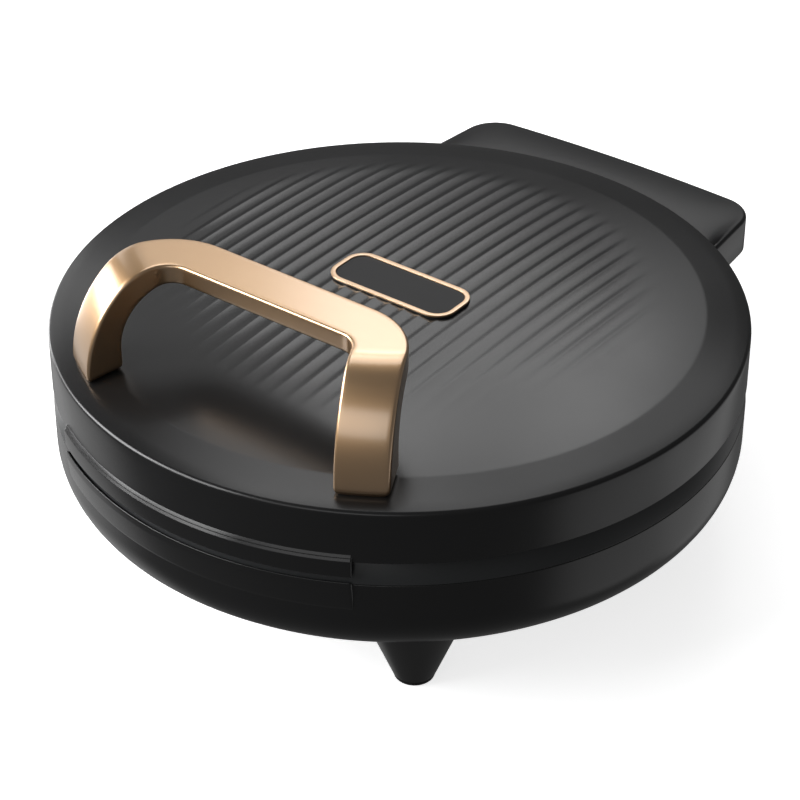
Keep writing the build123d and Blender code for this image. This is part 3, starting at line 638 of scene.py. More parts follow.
@dataclass
class Lid(Round):
    """The lid's shell: a shallow dome with soft ribs, a sloping ring, the skirt and the front tongue."""

    dome_height: float = float(SHELL_HIGH[2])
    rim_round: float = 2.2
    foot_round: float = 0.6
    rib_pitch: float = 8.5
    rib_crest: float = 5.6
    rib_height: float = 0.5
    rib_middle: float = 0.85
    rib_lean: float = 0.65
    rib_sink: float = 0.4
    rib_flank: float = 3.2
    rib_zone: float = 134.0
    rib_fade: float = 22.0
    side_pull: float = 5.0
    side_fade: float = 9.0
    front_pull: float = 16.0
    front_fade: float = 34.0
    crease: float = 0.8
    bevel_top: float = 4.0
    bevel_low: float = 1.3
    bevel_step: float = 0.4
    overlap: float = 1.2
    tongue_wall: float = 2.2
    end_round: float = 1.0

    def make(self, dresser: Dresser) -> None:
        """Builds and dresses the shell."""
        dresser.dress(self.shell(), Body.LID, "lid_shell", "shell_black")

    @property
    def ring_radius(self) -> float:
        """Radius of the edge between the dome and the ring."""
        return self.radius - self.ring_width

    @property
    def ring_height(self) -> float:
        """Height of the edge between the dome and the ring."""
        return self.rim + self.ring_rise

    def dome(self, radius: np.ndarray) -> np.ndarray:
        """Height of the dome: a ball's cap through its top and its edge.

        Args:
            radius: distances from the axis.

        Returns:
            The height at each.
        """
        rise = self.dome_height - self.ring_height
        ball = (self.ring_radius ** 2 + rise ** 2) / (2 * rise)
        return self.dome_height - ball + np.sqrt(ball ** 2 - radius ** 2)

    def ribs(self, x: np.ndarray, y: np.ndarray) -> np.ndarray:
        """Height of the ribs: each is a crest with a short left flank and a long hollow right side.

        Right of the crest the height falls with the square of one less the share of the long side;
        the short flank rises along three t squared minus two t cubed. The ribs are tallest at the
        back left and fall evenly to the front right. They fade out towards the edge of their zone,
        which lies further in and is softer at the front, by the square of half of one less the sine
        of the place's turn, and at the right, by the turn's cosine.

        Args:
            x: places across the ribs.
            y: places along them.

        Returns:
            What they add to the dome's height.
        """
        past = np.mod(x - self.rib_crest, self.rib_pitch)
        long_side = self.rib_pitch - self.rib_flank
        fall = (1 - np.minimum(past / long_side, 1)) ** 2
        rise = smooth(long_side, self.rib_pitch, past)
        tall = self.rib_middle + self.rib_lean * (y - x) / self.rib_zone / math.sqrt(2)
        height = self.rib_height * tall * (np.maximum(fall, rise) - self.rib_sink)
        radius = np.maximum(np.hypot(x, y), 1e-6)
        front = ((1 - y / radius) / 2) ** 2
        right = x / radius
        edge = self.rib_zone - 1 - self.side_pull * (1 + right) - self.front_pull * front
        width = self.rib_fade + self.side_fade * right + self.front_fade * front
        return height * smooth(0, 1, (edge - radius) / width)

    def columns(self) -> np.ndarray:
        """X places of the dome's columns: close together at the crests, then even turns to the side.

        Returns:
            The places, rising.
        """
        flank = self.rib_flank * np.array([-1, -0.84, -0.68, -0.52, -0.36, -0.2, -0.08])
        long_side = self.rib_pitch - self.rib_flank
        step = np.concatenate([flank, long_side * np.array([0, 0.03, 0.1, 0.2, 0.35, 0.5, 0.66, 0.84])])
        count = math.floor(0.9 * self.rib_zone / self.rib_pitch)
        middle = (np.arange(-count, count)[:, None] * self.rib_pitch + step + self.rib_crest).ravel()
        middle = middle[np.abs(middle) < 0.96 * self.rib_zone]
        side = np.radians(1.0)
        right = np.sin(np.arange(math.asin(middle[-1] / self.rib_zone) + side, math.pi / 2, side))
        left = np.sin(np.arange(math.asin(middle[0] / self.rib_zone) - side, -math.pi / 2, -side))[::-1]
        return np.concatenate([[-self.rib_zone], self.rib_zone * left, middle, self.rib_zone * right,
                               [self.rib_zone]])

    def outside(self) -> np.ndarray:
        """The profile from the ribs' zone out over the ring and rim, down the skirt and up inside.

        Returns:
            Points of (radius, height).
        """
        dome_r = np.linspace(self.rib_zone, self.ring_radius - self.crease, 8)
        slope = self.ring_rise / self.ring_width
        t = np.linspace(0, 1, 9)[1:]
        start = np.array([dome_r[-1], float(self.dome(dome_r[-1]))])
        end = np.array([self.ring_radius + self.crease, self.ring_height - slope * self.crease])
        corner = np.array([self.ring_radius, self.ring_height])
        bend = np.outer((1 - t) ** 2, start) + np.outer(2 * t * (1 - t), corner) + np.outer(t ** 2, end)
        inner = self.radius - self.wall
        rest = rounded([(end[0], end[1]), (self.radius - 8, self.rim + 8 * slope),
                        (self.radius, self.rim, self.rim_round), (self.radius, self.rim - 6),
                        (self.radius, self.bottom, self.foot_round), (inner, self.bottom, self.foot_round),
                        (inner, self.rim - self.wall, 3.0), (self.ring_radius, self.ring_height - self.wall),
                        (self.rib_zone, float(self.dome(np.array(self.rib_zone))) - self.wall)],
                       5, closed=False)
        return np.concatenate([np.stack([dome_r, self.dome(dome_r)], axis=1), bend, rest[1:]])

    def shell(self) -> bpy.types.Object:
        """The lid's shell.

        The dome's grid has columns along the ribs: at each X the rows run between the two places
        where the column meets the zone's circle, and the rings outside share those places.

        Returns:
            The piece.
        """
        x = self.columns()
        reach = np.sqrt(np.maximum(self.rib_zone ** 2 - x ** 2, 0))
        share = np.sin(np.linspace(-math.pi / 2, math.pi / 2, 64))[:, None]
        y = share * reach
        gx = np.broadcast_to(x, y.shape)
        radius = np.hypot(gx, y)
        skin = Skin()
        skin.add(np.stack([gx, y, self.dome(radius) + self.ribs(gx, y)], axis=-1))
        skin.add(np.stack([gx, y, self.dome(radius) - self.wall], axis=-1)[::9])
        turns = np.concatenate([np.arctan2(-reach, x)[:-1], np.arctan2(reach, x)[:0:-1]])
        skin.add(spun(self.outside(), turns), wrap=True)
        self.tongue(skin)
        return skin.build("lid_dome")

    def tongue(self, skin: Skin) -> None:
        """Adds the front tongue: a section with a step halfway down its bevel goes round the front.

        Args:
            skin: the lid's skin.
        """
        turns, swell = self.front_run(self.end_round, 0)
        inner = self.front_reach - self.tongue_wall
        middle = (self.radius + self.front_reach) / 2
        halfway = self.bottom + (self.bevel_top + self.bevel_low) / 2
        section = rounded([(self.radius - self.overlap, self.bottom + self.bevel_top + 0.8),
                           (self.radius, self.bottom + self.bevel_top, 0.4),
                           (middle, halfway + self.bevel_step / 2, 0.1),
                           (middle, halfway - self.bevel_step / 2, 0.1),
                           (self.front_reach, self.bottom + self.bevel_low, 0.5),
                           (self.front_reach, self.tongue_bottom, 0.3),
                           (inner, self.tongue_bottom, 0.3), (inner, self.bottom + 1.5)], 5)
        across, height = section[:, 0:1], section[:, 1:2]
        depth = np.maximum(across - inner, 0) * (0.25 + 0.75 * swell) + np.minimum(across, inner)
        height = height + self.end_round * (1 - swell) * (height < self.bottom)
        skin.add(turned(depth, height, turns), loop=True)


@dataclass
class Base(Round):
    """The bowl, its front lip, and the sloping collar that closes it."""

    slot: float = 3.1
    lip_height: float = 3.5
    lip_taper: float = 14.0
    lip_wall: float = 0.7
    overlap: float = 1.0
    end_round: float = 1.8
    boss_circle: float = 60.0
    boss_radius: float = 7.0
    boss_top: float = 48.8
    sink_radius: float = 4.5
    sink_top: float = 42.0
    ledge_drop: float = 2.0
    ledge_wall: float = 2.5
    collar_wall: float = 2.4
    ledge_edge: float = 6.6
    ledge_end: float = 12.1

    def make(self, dresser: Dresser) -> None:
        """Builds and dresses the bowl and the collar."""
        dresser.dress(self.bowl(), Body.BASE, "base_shell", "shell_black")
        dresser.dress(self.collar(), Body.BASE, "base_collar", "collar_black")

    def bowl(self) -> bpy.types.Object:
        """The bowl, turned from one profile, with its bosses and the sunk holes of their screws.

        Returns:
            The piece.
        """
        inner = self.radius - self.wall
        inside = self.floor + self.wall
        flat = np.linspace(0, self.radius - self.corner - 2, 12)
        outside = rounded([(flat[-1], self.floor), (self.radius, self.floor, self.corner),
                           (self.radius, self.wall_top, 0.5), (inner, self.wall_top, 0.4),
                           (inner, inside, self.corner - self.wall), (0, inside)], 16, closed=False)
        profile = np.concatenate([np.stack([flat, 0 * flat + self.floor], axis=1)[:-1], outside])
        skin = Skin().add(spun(profile, FULL_TURN), wrap=True)
        self.lip(skin)
        bowl = skin.build("base_bowl")
        for turn in (90, 210, 330):
            x = self.boss_circle * math.cos(math.radians(turn))
            y = self.boss_circle * math.sin(math.radians(turn))
            boss = column(x, y, self.floor + 1, self.boss_top, self.boss_radius)
            sink = column(x, y, self.floor - 3, self.sink_top, self.sink_radius)
            bowl = met(met(bowl, boss, Meeting.JOIN), sink, Meeting.CUT)
        return bowl

    def lip(self, skin: Skin) -> None:
        """Adds the front lip: it stands proud below the slot and fades into the wall.

        Args:
            skin: the bowl's skin.
        """
        turns, swell = self.front_run(self.end_round, 0.001)
        lip_top = self.tongue_bottom - self.slot
        lip_side = lip_top - self.lip_height
        lip_foot = lip_side - self.lip_taper
        inner = self.front_reach - self.lip_wall
        root = self.radius + 0.2
        section = rounded([(self.radius - self.overlap, lip_foot), (self.radius - 0.05, lip_foot, 4.0),
                           (self.front_reach, lip_side, 3.0), (self.front_reach, lip_top, 0.4),
                           (inner, lip_top, 0.2), (inner, self.wall_top + 0.1), (root, self.wall_top),
                           (self.radius - self.overlap, self.wall_top)], 6)
        across, height = section[:, 0:1], section[:, 1:2]
        depth = np.minimum(across, root) + np.maximum(across - root, 0) * swell
        height = height - self.end_round * (1 - swell) * (height > self.wall_top + 0.5)
        skin.add(turned(depth, height, turns), loop=True)

    def collar(self) -> bpy.types.Object:
        """The collar: a slope from the wall to its top edge, a ledge inside and a spigot below.

        Returns:
            The piece.
        """
        slope_top = self.radius - self.collar_inset
        edge, end = self.radius - self.ledge_edge, self.radius - self.ledge_end
        side = self.radius - self.wall - 0.1
        ledge = self.collar_top - self.ledge_drop
        under = ledge - self.ledge_wall
        low = self.wall_top - self.spigot
        profile = rounded([(self.radius, self.wall_top, 0.3), (slope_top, self.collar_top, 0.7),
                           (edge, self.collar_top, 0.4), (edge, ledge), (end, ledge, 0.4), (end, under, 0.4),
                           (slope_top - self.collar_wall, under),
                           (side - self.collar_wall, self.wall_top, 2.0), (side - self.collar_wall, low),
                           (side, low), (side, self.wall_top)], 5)
        return Skin().add(spun(profile, FULL_TURN), wrap=True, loop=True).build("collar_ring")


def column(x: float, y: float, bottom: float, top: float, radius: float) -> bpy.types.Object:
    """An upright closed cylinder about (x, y)."""
    profile = np.array([[0, bottom], [radius, bottom], [radius, top], [0, top]])
    return Skin().add(spun(profile, even_turns(48)) + np.array([x, y, 0]), wrap=True).build("column")


@dataclass
class Handle(Round):
    """The arch: a strap on a surface turned about the body's axis, cut to a U from above."""

    top: float = float(HANDLE_HIGH[2])
    outer: float = float(COLLAR_HIGH[0]) - 8.5
    lean_start: float = 3.0
    lean_radius: float = 60.0
    lean: float = 45.0
    foot_depth: float = 17.5
    bar_thickness: float = 9.5
    inner_bend: float = 28.0
    half_width: float = 12.0
    leg_corner: float = 58.9
    leg_angle: float = 24.5
    bend_radius: float = 24.0
    edge: float = 1.5
    foot_sink: float = 0.6
    foot_round: float = 3.2
    stations: int = 150

    def make(self, dresser: Dresser) -> None:
        """Builds and dresses the arch."""
        dresser.dress(self.strap(), Body.LID, "handle", "champagne_gold")

    @property
    def bar_middle(self) -> float:
        """Distance of the bar's middle line from the axis, seen from above."""
        return self.half_width - float(HANDLE_HIGH[1])

    def ring_level(self, radius: np.ndarray | float) -> np.ndarray:
        """Height of the lid's sloping ring: it rises evenly inwards from the rim."""
        return self.rim + self.ring_rise / self.ring_width * (self.radius - np.asarray(radius))

    def top_profile(self) -> np.ndarray:
        """The outer profile from the flat top out and down: flat, a crown arc, a lean arc, upright.

        Returns:
            Points of (radius, height).
        """
        lean = math.radians(self.lean)
        centre = self.outer - self.lean_radius
        start = self.rim + self.lean_start
        knee = (centre + self.lean_radius * math.cos(lean), start + self.lean_radius * math.sin(lean))
        crown = (self.top - knee[1]) / (1 - math.sin(lean))
        middle = (knee[0] - crown * math.cos(lean), self.top - crown)
        flat = np.array([[0.0, self.top]])
        foot = np.array([[self.outer, float(self.ring_level(self.outer)) - self.foot_sink]])
        side = arc((centre, start), self.lean_radius, self.lean, 0, 60)
        return np.concatenate([flat, arc(middle, crown, 90, self.lean, 40), side[1:], foot])

    def under_profile(self) -> np.ndarray:
        """The inner profile: flat, one bend, then upright.

        Returns:
            Points of (radius, height).
        """
        radius = self.outer - self.foot_depth
        under = self.top - self.bar_thickness
        bend = arc((radius - self.inner_bend, under - self.inner_bend), self.inner_bend, 90, 0, 60)
        foot = [[radius, float(self.ring_level(radius)) - self.foot_sink]]
        return np.concatenate([[[0.0, under]], bend, foot])

    def line(self, offset: float, profile: np.ndarray, flat_end: float) -> np.ndarray:
        """One line along half the strap, from the middle of the bar to a foot.

        In plan it runs along the bar, round the corner at the bend's radius plus the offset, and
        down the leg. On the leg, the distance along it comes from the profile's radius: the root of
        the radius squared less the square of the leg line's own distance from the axis.

        Args:
            offset: distance from the strap's middle line, towards its outer side.
            profile: (radius, height) of the surface that the line lies on.
            flat_end: radius up to which stations are matched by their place from above.

        Returns:
            Stations by 3.
        """
        turn = math.radians(90 - self.leg_angle)
        lean = math.radians(self.leg_angle)
        corner_y = -self.bar_middle - self.bend_radius
        corner_x = self.leg_corner + self.bend_radius * math.tan(lean) - self.bend_radius / math.cos(lean)
        bar = np.stack([np.linspace(0, corner_x, 30)[:-1], np.full(29, -self.bar_middle + offset)], axis=1)
        bend_turn = np.linspace(0, turn, 60)
        reach = self.bend_radius + offset
        bend = np.stack([corner_x + reach * np.sin(bend_turn), corner_y + reach * np.cos(bend_turn)], axis=1)
        plan = np.concatenate([bar, bend])
        level = np.interp(np.hypot(plan[:, 0], plan[:, 1]), profile[:, 0], profile[:, 1])
        upper = raised(plan, level)
        along = np.array([math.sin(lean), -math.cos(lean)])
        start = bend[-1]
        first = start @ along
        aside = math.sqrt(start @ start - first ** 2)
        place = np.linspace(0, len(profile) - 1, 900)
        fine, height = (np.interp(place, np.arange(len(profile)), profile[:, i]) for i in range(2))
        down = fine > np.linalg.norm(start) + 0.05
        step = np.sqrt(fine[down] ** 2 - aside ** 2) - first
        leg = raised(start + step[:, None] * along, height[down])
        path = np.concatenate([upper, leg])
        run = run_along(path)
        keep = np.concatenate([[True], np.diff(run) > 1e-9])
        path, run = path[keep], run[keep]
        span = np.hypot(path[:, 0], path[:, 1])
        split = run[np.argmax(span > flat_end)]
        half = self.stations // 2
        wanted = np.concatenate([np.linspace(0, split, half),
                                 np.linspace(split, run[-1], self.stations - half + 1)[1:]])
        return at_runs(path, run, wanted)

    def strap(self) -> bpy.types.Object:
        """The whole strap.

        Its section is a ring of points, each with an offset across the strap and a share of the way
        from the outer to the inner surface; quarter circles round the four edges. Close over the
        ring the section draws in towards its middle along a quarter circle, which rounds the foot.

        Returns:
            The piece.
        """
        top, under = self.top_profile(), self.under_profile()
        flat_end = self.outer - self.foot_depth - self.inner_bend
        turn = np.linspace(0, math.pi / 2, 7)
        flat = np.linspace(-1, 1, 13)[1:-1] * (self.half_width - self.edge)
        bulge = self.edge * (1 - np.cos(turn))
        inset = self.edge * (1 - np.sin(turn))
        depth = np.linspace(0, 1, 9)[1:-1]
        none, level, side, brink = 0 * flat, 0 * bulge, 0 * depth + self.half_width, 0 * depth + self.edge
        offsets = np.concatenate([flat, self.half_width - inset, side, self.half_width - inset[::-1],
                                  -flat, inset - self.half_width, -side, inset[::-1] - self.half_width])
        near = np.concatenate([none, bulge, brink, level, none, level, brink, bulge[::-1]])
        far = np.concatenate([none, level, brink, bulge[::-1], none, bulge, brink, level])
        share = np.concatenate([none, level, depth, level + 1, none + 1, level + 1, depth[::-1], level])
        outer_lines = np.stack([self.line(w, top, flat_end) for w in offsets], axis=1)
        inner_lines = np.stack([self.line(w, under, flat_end) for w in offsets], axis=1)
        across = inner_lines - outer_lines
        thickness = np.linalg.norm(across, axis=2, keepdims=True)
        place = near[:, None] + share[:, None] * (thickness - near[:, None] - far[:, None])
        place = np.where(share[:, None] == 1, thickness - far[:, None], place)
        half = outer_lines + across / thickness * place
        over = half[:, :, 2] - self.ring_level(np.hypot(half[:, :, 0], half[:, :, 1]))
        low = 1 - np.clip(over / self.foot_round, 0, 1)
        drawn_in = self.foot_round * (1 - np.sqrt(1 - low ** 2)) / self.half_width
        middle = half.mean(axis=1, keepdims=True)
        middle[:, :, 2] = 0
        flat_shift = (half - middle) * np.array([1, 1, 0])
        half = half - flat_shift * drawn_in[:, :, None]
        mirrored = half[:0:-1] * np.array([-1, 1, 1])
        return Skin().add(np.concatenate([mirrored, half]), wrap=True).build("arch_handle")


@dataclass
class Nameplate:
    """A raised border round a bare dark panel, on the middle of the dome."""

    length: float = float(BORDER_HIGH[0] - BORDER_LOW[0])
    width: float = float(BORDER_HIGH[1] - BORDER_LOW[1])
    corner: float = 10.0
    border: float = 2.5
    top: float = float(BORDER_HIGH[2])
    thickness: float = float(BORDER_HIGH[2] - BORDER_LOW[2])
    root: float = 1.5
    step: float = 0.5

    def make(self, dresser: Dresser) -> None:
        """Builds and dresses the border and the panel."""
        dresser.dress(self.frame(), Body.LID, "nameplate_frame", "champagne_gold")
        dresser.dress(self.panel(), Body.LID, "nameplate_insert", "nameplate_dark")

    def outline(self, inset: float) -> np.ndarray:
        """The plate's outline from above, drawn in by an inset."""
        x, y, r = self.length / 2 - inset, self.width / 2 - inset, self.corner - inset
        return rounded([(-x, -y, r), (x, -y, r), (x, y, r), (-x, y, r)], 16)

    def frame(self) -> bpy.types.Object:
        """The border: a rounded bead carried round the outline.

        Returns:
            The piece.
        """
        under = self.top - self.thickness
        section = rounded([(0, under), (0, self.top, 0.4), (self.border, self.top, 0.35),
                           (self.border, under)])
        rows = [raised(self.outline(inset), height) for inset, height in section]
        return Skin().add(np.stack(rows), wrap=True, loop=True).build("nameplate_border")

    def panel(self) -> bpy.types.Object:
        """The panel: flat, with a small fall at its edge.

        Returns:
            The piece.
        """
        top = self.top - self.step
        rim = self.top - self.thickness
        levels = [(0, rim - self.root), (0, rim), (self.border + 0.05, rim), (self.border + 0.05, top - 0.2),
                  (self.border + 0.25, top), (self.corner - 0.5, top)]
        rows = [raised(self.outline(inset), height) for inset, height in levels]
        return Skin().add(np.stack(rows), wrap=True).build("nameplate_panel")


@dataclass
class HingeCover(Round):
    """The housing behind the lid: a bowed box with a soft top edge, open below."""

    half_width: float = 81.8
    flare: float = 9.0
    front: float = 100.0
    back: float = float(COVER_HIGH[1])
    bow: float = 3.5
    corner: float = 17.0
    low: float = float(COVER_LOW[2])
    top: float = float(COVER_HIGH[2])
    edge: float = 2.0
    crown: float = 0.5
    fall: float = 1.6
    notch_half_width: float = float(CARRIAGE_HIGH[0]) + 4.0
    notch_front: float = float(COLLAR_HIGH[0]) + 3.0
    notch_round: float = 2.0

    def make(self, dresser: Dresser) -> None:
        """Builds and dresses the housing."""
        dresser.dress(self.housing(), Body.LID, "hinge_cover", "cover_black")

    def outline(self) -> np.ndarray:
        """The housing from above, from where it leaves the lid on the left to the right.

        The back is bowed: each point moves forward by the bow times the square of its share of the
        half width.

        Returns:
            Points seen from above.
        """
        side = self.half_width + self.flare
        path = rounded([(-side, self.front), (-self.half_width, self.back, self.corner),
                        (self.half_width, self.back, self.corner), (side, self.front)], 20, closed=False)
        run = run_along(path)
        path = at_runs(path, run, np.linspace(0, run[-1], 900))
        path[:, 1] -= self.bow * (path[:, 0] / self.half_width) ** 2
        outside = path[np.hypot(path[:, 0], path[:, 1]) > self.radius - 1]
        keep = np.linspace(0, len(outside) - 1, 180).round().astype(int)
        return outside[keep]

    def inward(self, path: np.ndarray) -> np.ndarray:
        """Unit steps from the outline into the housing: its tangent turned a quarter.

        Args:
            path: the outline.

        Returns:
            A step for each of its points.
        """
        along = np.gradient(path, axis=0)
        along /= np.linalg.norm(along, axis=1, keepdims=True)
        return np.stack([along[:, 1], -along[:, 0]], axis=1)

    def housing(self) -> bpy.types.Object:
        """The housing.

        Each column of the grid goes from the lid over the top, round the edge, down the wall,
        inside up again and back along the ceiling.

        Returns:
            The piece.
        """
        path = self.outline()
        inward = self.inward(path)
        rim_x = np.linspace(path[0, 0], path[-1, 0], len(path))
        rim = np.stack([rim_x, np.sqrt((self.radius - 1) ** 2 - rim_x ** 2)], axis=1)
        rows = []
        edge_in = path + inward * self.edge
        for share in np.linspace(0, 1, 14):
            height = self.top + self.crown - (self.fall + self.crown) * share ** 2
            rows.append(raised(rim + (edge_in - rim) * share, height))
        crest = self.top - self.fall
        ceiling = crest - self.wall
        for turn in np.linspace(0, math.pi / 2, 9)[1:]:
            plan = path + inward * self.edge * (1 - math.sin(turn))
            rows.append(raised(plan, crest - self.edge * (1 - math.cos(turn))))
        for inset, height in ((0.0, self.low + 0.6), (0.2, self.low + 0.15), (0.6, self.low),
                              (self.wall - 0.5, self.low), (self.wall, self.low + 0.5),
                              (self.wall, ceiling - 1.5), (self.wall + 1.5, ceiling)):
            rows.append(raised(path + inward * inset, height))
        rows.append(raised(rim, ceiling))
        housing = Skin().add(np.stack(rows), loop=True).build("hinge_housing")
        return met(housing, self.notch(), Meeting.CUT)

    def notch(self) -> bpy.types.Object:
        """The block that opens the back wall for the carriage and thins the ceiling over it.

        Returns:
            The block.
        """
        ceiling = self.top - self.wall
        half = self.notch_half_width
        face = rounded([(-half, self.low - 4), (half, self.low - 4), (half, ceiling, self.notch_round),
                        (-half, ceiling, self.notch_round)])
        rows = [np.column_stack([face[:, 0], np.full(len(face), y), face[:, 1]])
                for y in (self.notch_front, self.back + 5)]
        return Skin().add(np.stack(rows), wrap=True).build("notch")


@dataclass
class Feet(Round):
    """Four tapered feet under the bowl's corner, each on a rubber pad."""

    circle: float = float(COLLAR_HIGH[0]) - 38.0
    angles: tuple[float, ...] = (-130.0, -50.0, 50.0, 130.0)
    tip: float = 8.8
    half_angle: float = 21.5
    sink: float = 0.4
    pad: float = 3.0
    pad_edge: float = 0.6
    pad_round: float = 1.6

    def make(self, dresser: Dresser) -> None:
        """Builds and dresses the feet and their pads."""
        dresser.dress(self.cones(), Body.BASE, "feet", "foot_black")
        dresser.dress(self.pads(), Body.BASE, "foot_pads", "pad_rubber")

    @property
    def centres(self) -> list[np.ndarray]:
        """The four feet's middles on the ground."""
        return [self.circle * np.array([math.cos(a), math.sin(a), 0]) for a in np.radians(self.angles)]

    def underside(self, radius: np.ndarray) -> np.ndarray:
        """Height of the bowl's underside: flat, then an arc up to the wall."""
        out = np.clip(radius - (self.radius - self.corner), 0, self.corner)
        return self.floor + self.corner - np.sqrt(self.corner ** 2 - out ** 2)

    def cones(self) -> bpy.types.Object:
        """The four feet.

        A side line at each turn rises from the pad at the cone's angle until it meets the bowl's
        underside, which a few rounds of putting the height back in find.

        Returns:
            The piece.
        """
        turns = even_turns(96)
        spread = math.tan(math.radians(self.half_angle))
        skin = Skin()
        for centre in self.centres:
            height = np.full(len(turns), self.floor)
            for _ in range(30):
                side = turned(self.tip + spread * height, height, turns) + centre
                out = np.minimum(np.hypot(side[:, 0], side[:, 1]), self.radius - 0.2)
                height = 0.5 * height + 0.5 * self.underside(out)
            top = height + self.sink
            level = self.pad + (top - self.pad) * np.linspace(0, 1, 12)[:, None]
            level = np.concatenate([0 * top[None] + self.pad, level, 0 * top[None] + self.floor + self.sink])
            radius = self.tip + spread * level
            radius[[0, -1]] = 0
            skin.add(turned(radius, level, turns) + centre, wrap=True)
        return skin.build("foot_cones")

    def pads(self) -> bpy.types.Object:
        """The rubber pads: low discs with a round lower edge.

        Returns:
            The piece.
        """
        edge = self.tip + self.pad_edge
        profile = rounded([(0, 0), (edge, 0, self.pad_round), (edge, self.pad, 0.3), (0, self.pad)],
                          8, closed=False)
        skin = Skin()
        for centre in self.centres:
            skin.add(spun(profile, even_turns(64)) + centre, wrap=True)
        return skin.build("rubber_pads")


@dataclass(frozen=True)
class SoftBox:
    """A rectangular soft light, placed by its turn and rise round the object, which it faces."""

    name: str
    turn: float
    rise: float
    width: float
    height: float
    brightness: float
    distance: float = 1.6

    def hang(self) -> None:
        """Puts the light up. Its watts are pi times its area times the brightness of its face."""
        data = bpy.data.lights.new(self.name, "AREA")
        data.shape = "RECTANGLE"
        data.size, data.size_y = self.width, self.height
        data.energy = math.pi * self.width * self.height * self.brightness
        lamp = bpy.data.objects.new(self.name, data)
        turn, rise = math.radians(self.turn), math.radians(self.rise)
        out = self.distance * math.cos(rise)
        lamp.location = (out * math.cos(turn), out * math.sin(turn), 0.1 + self.distance * math.sin(rise))
        lamp.rotation_euler = (math.pi / 2 - rise, 0, turn + math.pi / 2)
        bpy.context.scene.collection.objects.link(lamp)


SOFT_BOXES = (
    SoftBox("back_key", 120, 44, 0.55, 0.55, 2.3), SoftBox("back_right", 100, 46, 0.55, 0.65, 0.95),
    SoftBox("back_low", 118, 30, 0.7, 0.34, 0.8), SoftBox("back_left", 140, 34, 0.55, 0.9, 0.4),
    SoftBox("back_left_high", 140, 56, 0.55, 0.55, 1.4), SoftBox("top", 130, 70, 1.0, 0.55, 1.5),
    SoftBox("left_back", 160, 20, 0.55, 0.55, 1.1), SoftBox("left", 190, 11, 0.65, 0.5, 3.6),
    SoftBox("left_front", 212, 24, 0.8, 0.8, 9.0), SoftBox("front_left", 240, 28, 0.8, 0.8, 6.0),
    SoftBox("front", 285, 26, 1.1, 0.6, 1.1))


@dataclass(frozen=True)
class Glow:
    """A soft pale patch of the surround, such as a lit table or wall: its turn, rise and brightness."""

    turn: float
    rise: float
    brightness: float
    half_width: float = 36.0
    half_core: float = 12.0

    def strength(self, tree: bpy.types.NodeTree, facing: bpy.types.NodeSocket) -> bpy.types.NodeSocket:
        """The patch's light by direction: full within its core, and smoothly down to none at its edge.

        Args:
            tree: the world's node tree.
            facing: the direction looked in.

        Returns:
            The light's strength.
        """
        turn, rise = math.radians(self.turn), math.radians(self.rise)
        middle = (math.cos(rise) * math.cos(turn), math.cos(rise) * math.sin(turn), math.sin(rise))
        nearness = node(tree, "ShaderNodeVectorMath", {0: facing, 1: middle}, operation="DOT_PRODUCT")
        return node(tree, "ShaderNodeMapRange", {
            "Value": nearness.outputs["Value"], "From Min": math.cos(math.radians(self.half_width)),
            "From Max": math.cos(math.radians(self.half_core)), "To Max": self.brightness},
                    interpolation_type="SMOOTHSTEP").outputs["Result"]


GLOWS = (Glow(24, -30, 0.45, 28), Glow(66, -28, 0.42, 24), Glow(172, -28, 0.5),
         Glow(162, -9, 4.5, 16, 6))


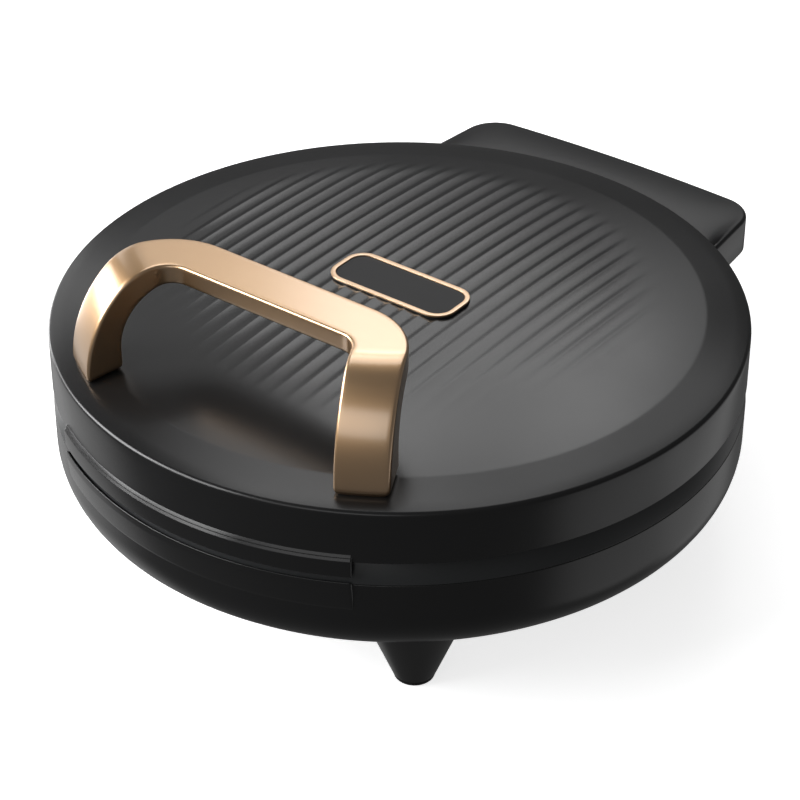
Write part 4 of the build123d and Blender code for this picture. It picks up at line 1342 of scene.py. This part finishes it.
@dataclass
class Studio:
    """The camera, the lights and the floor."""

    camera_place: tuple[float, float, float] = (620.05, -822.74, 756.01)
    camera_pitch: float = 33.856
    camera_turn: float = 37.0
    lens_mm: float = 117.0
    surround: float = 0.125
    floor_width: float = 60.0
    floor_tone: float = 0.92
    floor_roughness: float = 0.8
    floor_glow: float = 0.75

    def camera(self) -> None:
        """The photograph's viewing angle."""
        data = bpy.data.cameras.new("camera")
        data.lens = self.lens_mm
        data.sensor_width = 36.0
        data.clip_end = 50.0
        camera = bpy.data.objects.new("camera", data)
        camera.location = [p * MM + s for p, s in zip(self.camera_place, (0, AXIS_Y, 0))]
        camera.rotation_euler = (math.radians(90 - self.camera_pitch), 0, math.radians(self.camera_turn))
        bpy.context.scene.collection.objects.link(camera)
        bpy.context.scene.camera = camera

    def world(self) -> None:
        """A dim grey surround with a few soft glows low down."""
        world = bpy.data.worlds.new("surround")
        world.use_nodes = True
        tree = world.node_tree
        tree.nodes.clear()
        facing = node(tree, "ShaderNodeTexCoord").outputs["Generated"]
        total: bpy.types.NodeSocket | float = self.surround
        for glow in GLOWS:
            both = {0: total, 1: glow.strength(tree, facing)}
            total = node(tree, "ShaderNodeMath", both, operation="ADD").outputs[0]
        shade = node(tree, "ShaderNodeBackground", {"Color": (1, 1, 1, 1), "Strength": total})
        node(tree, "ShaderNodeOutputWorld", {"Surface": shade.outputs[0]})
        bpy.context.scene.world = world

    def floor(self) -> None:
        """A plain pale floor, with a glow of its own that the object doesn't mirror."""
        mesh = bpy.data.meshes.new("floor")
        half = self.floor_width / 2
        corners = [(-half, -half, 0), (half, -half, 0), (half, half, 0), (-half, half, 0)]
        mesh.from_pydata(corners, [], [(0, 1, 2, 3)])
        floor = bpy.data.objects.new("floor", mesh)
        material = bpy.data.materials.new("pale_floor")
        material.use_nodes = True
        shader = material.node_tree.nodes["Principled BSDF"]
        shader.inputs["Base Color"].default_value = (self.floor_tone, self.floor_tone, self.floor_tone, 1)
        shader.inputs["Roughness"].default_value = self.floor_roughness
        shader.inputs["Emission Color"].default_value = (1, 1, 1, 1)
        shader.inputs["Emission Strength"].default_value = self.floor_glow
        mesh.materials.append(material)
        floor.visible_glossy = False
        floor.visible_diffuse = False
        bpy.context.scene.collection.objects.link(floor)

    def build(self) -> None:
        """Puts the whole studio up."""
        bpy.context.scene.view_settings.view_transform = "Standard"
        self.camera()
        self.world()
        self.floor()
        for box in SOFT_BOXES:
            box.hang()


def main() -> None:
    """Builds the studio, then each sub-assembly, in order."""
    logging.basicConfig(level=logging.INFO, format="%(name)s: %(message)s")
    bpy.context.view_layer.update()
    Studio().build()
    dresser = Dresser()
    dresser.dress_nodes()
    for assembly in (Lid(), Handle(), Nameplate(), HingeCover(), Base(), Feet()):
        assembly.make(dresser)


if __name__ == "__main__":
    main()
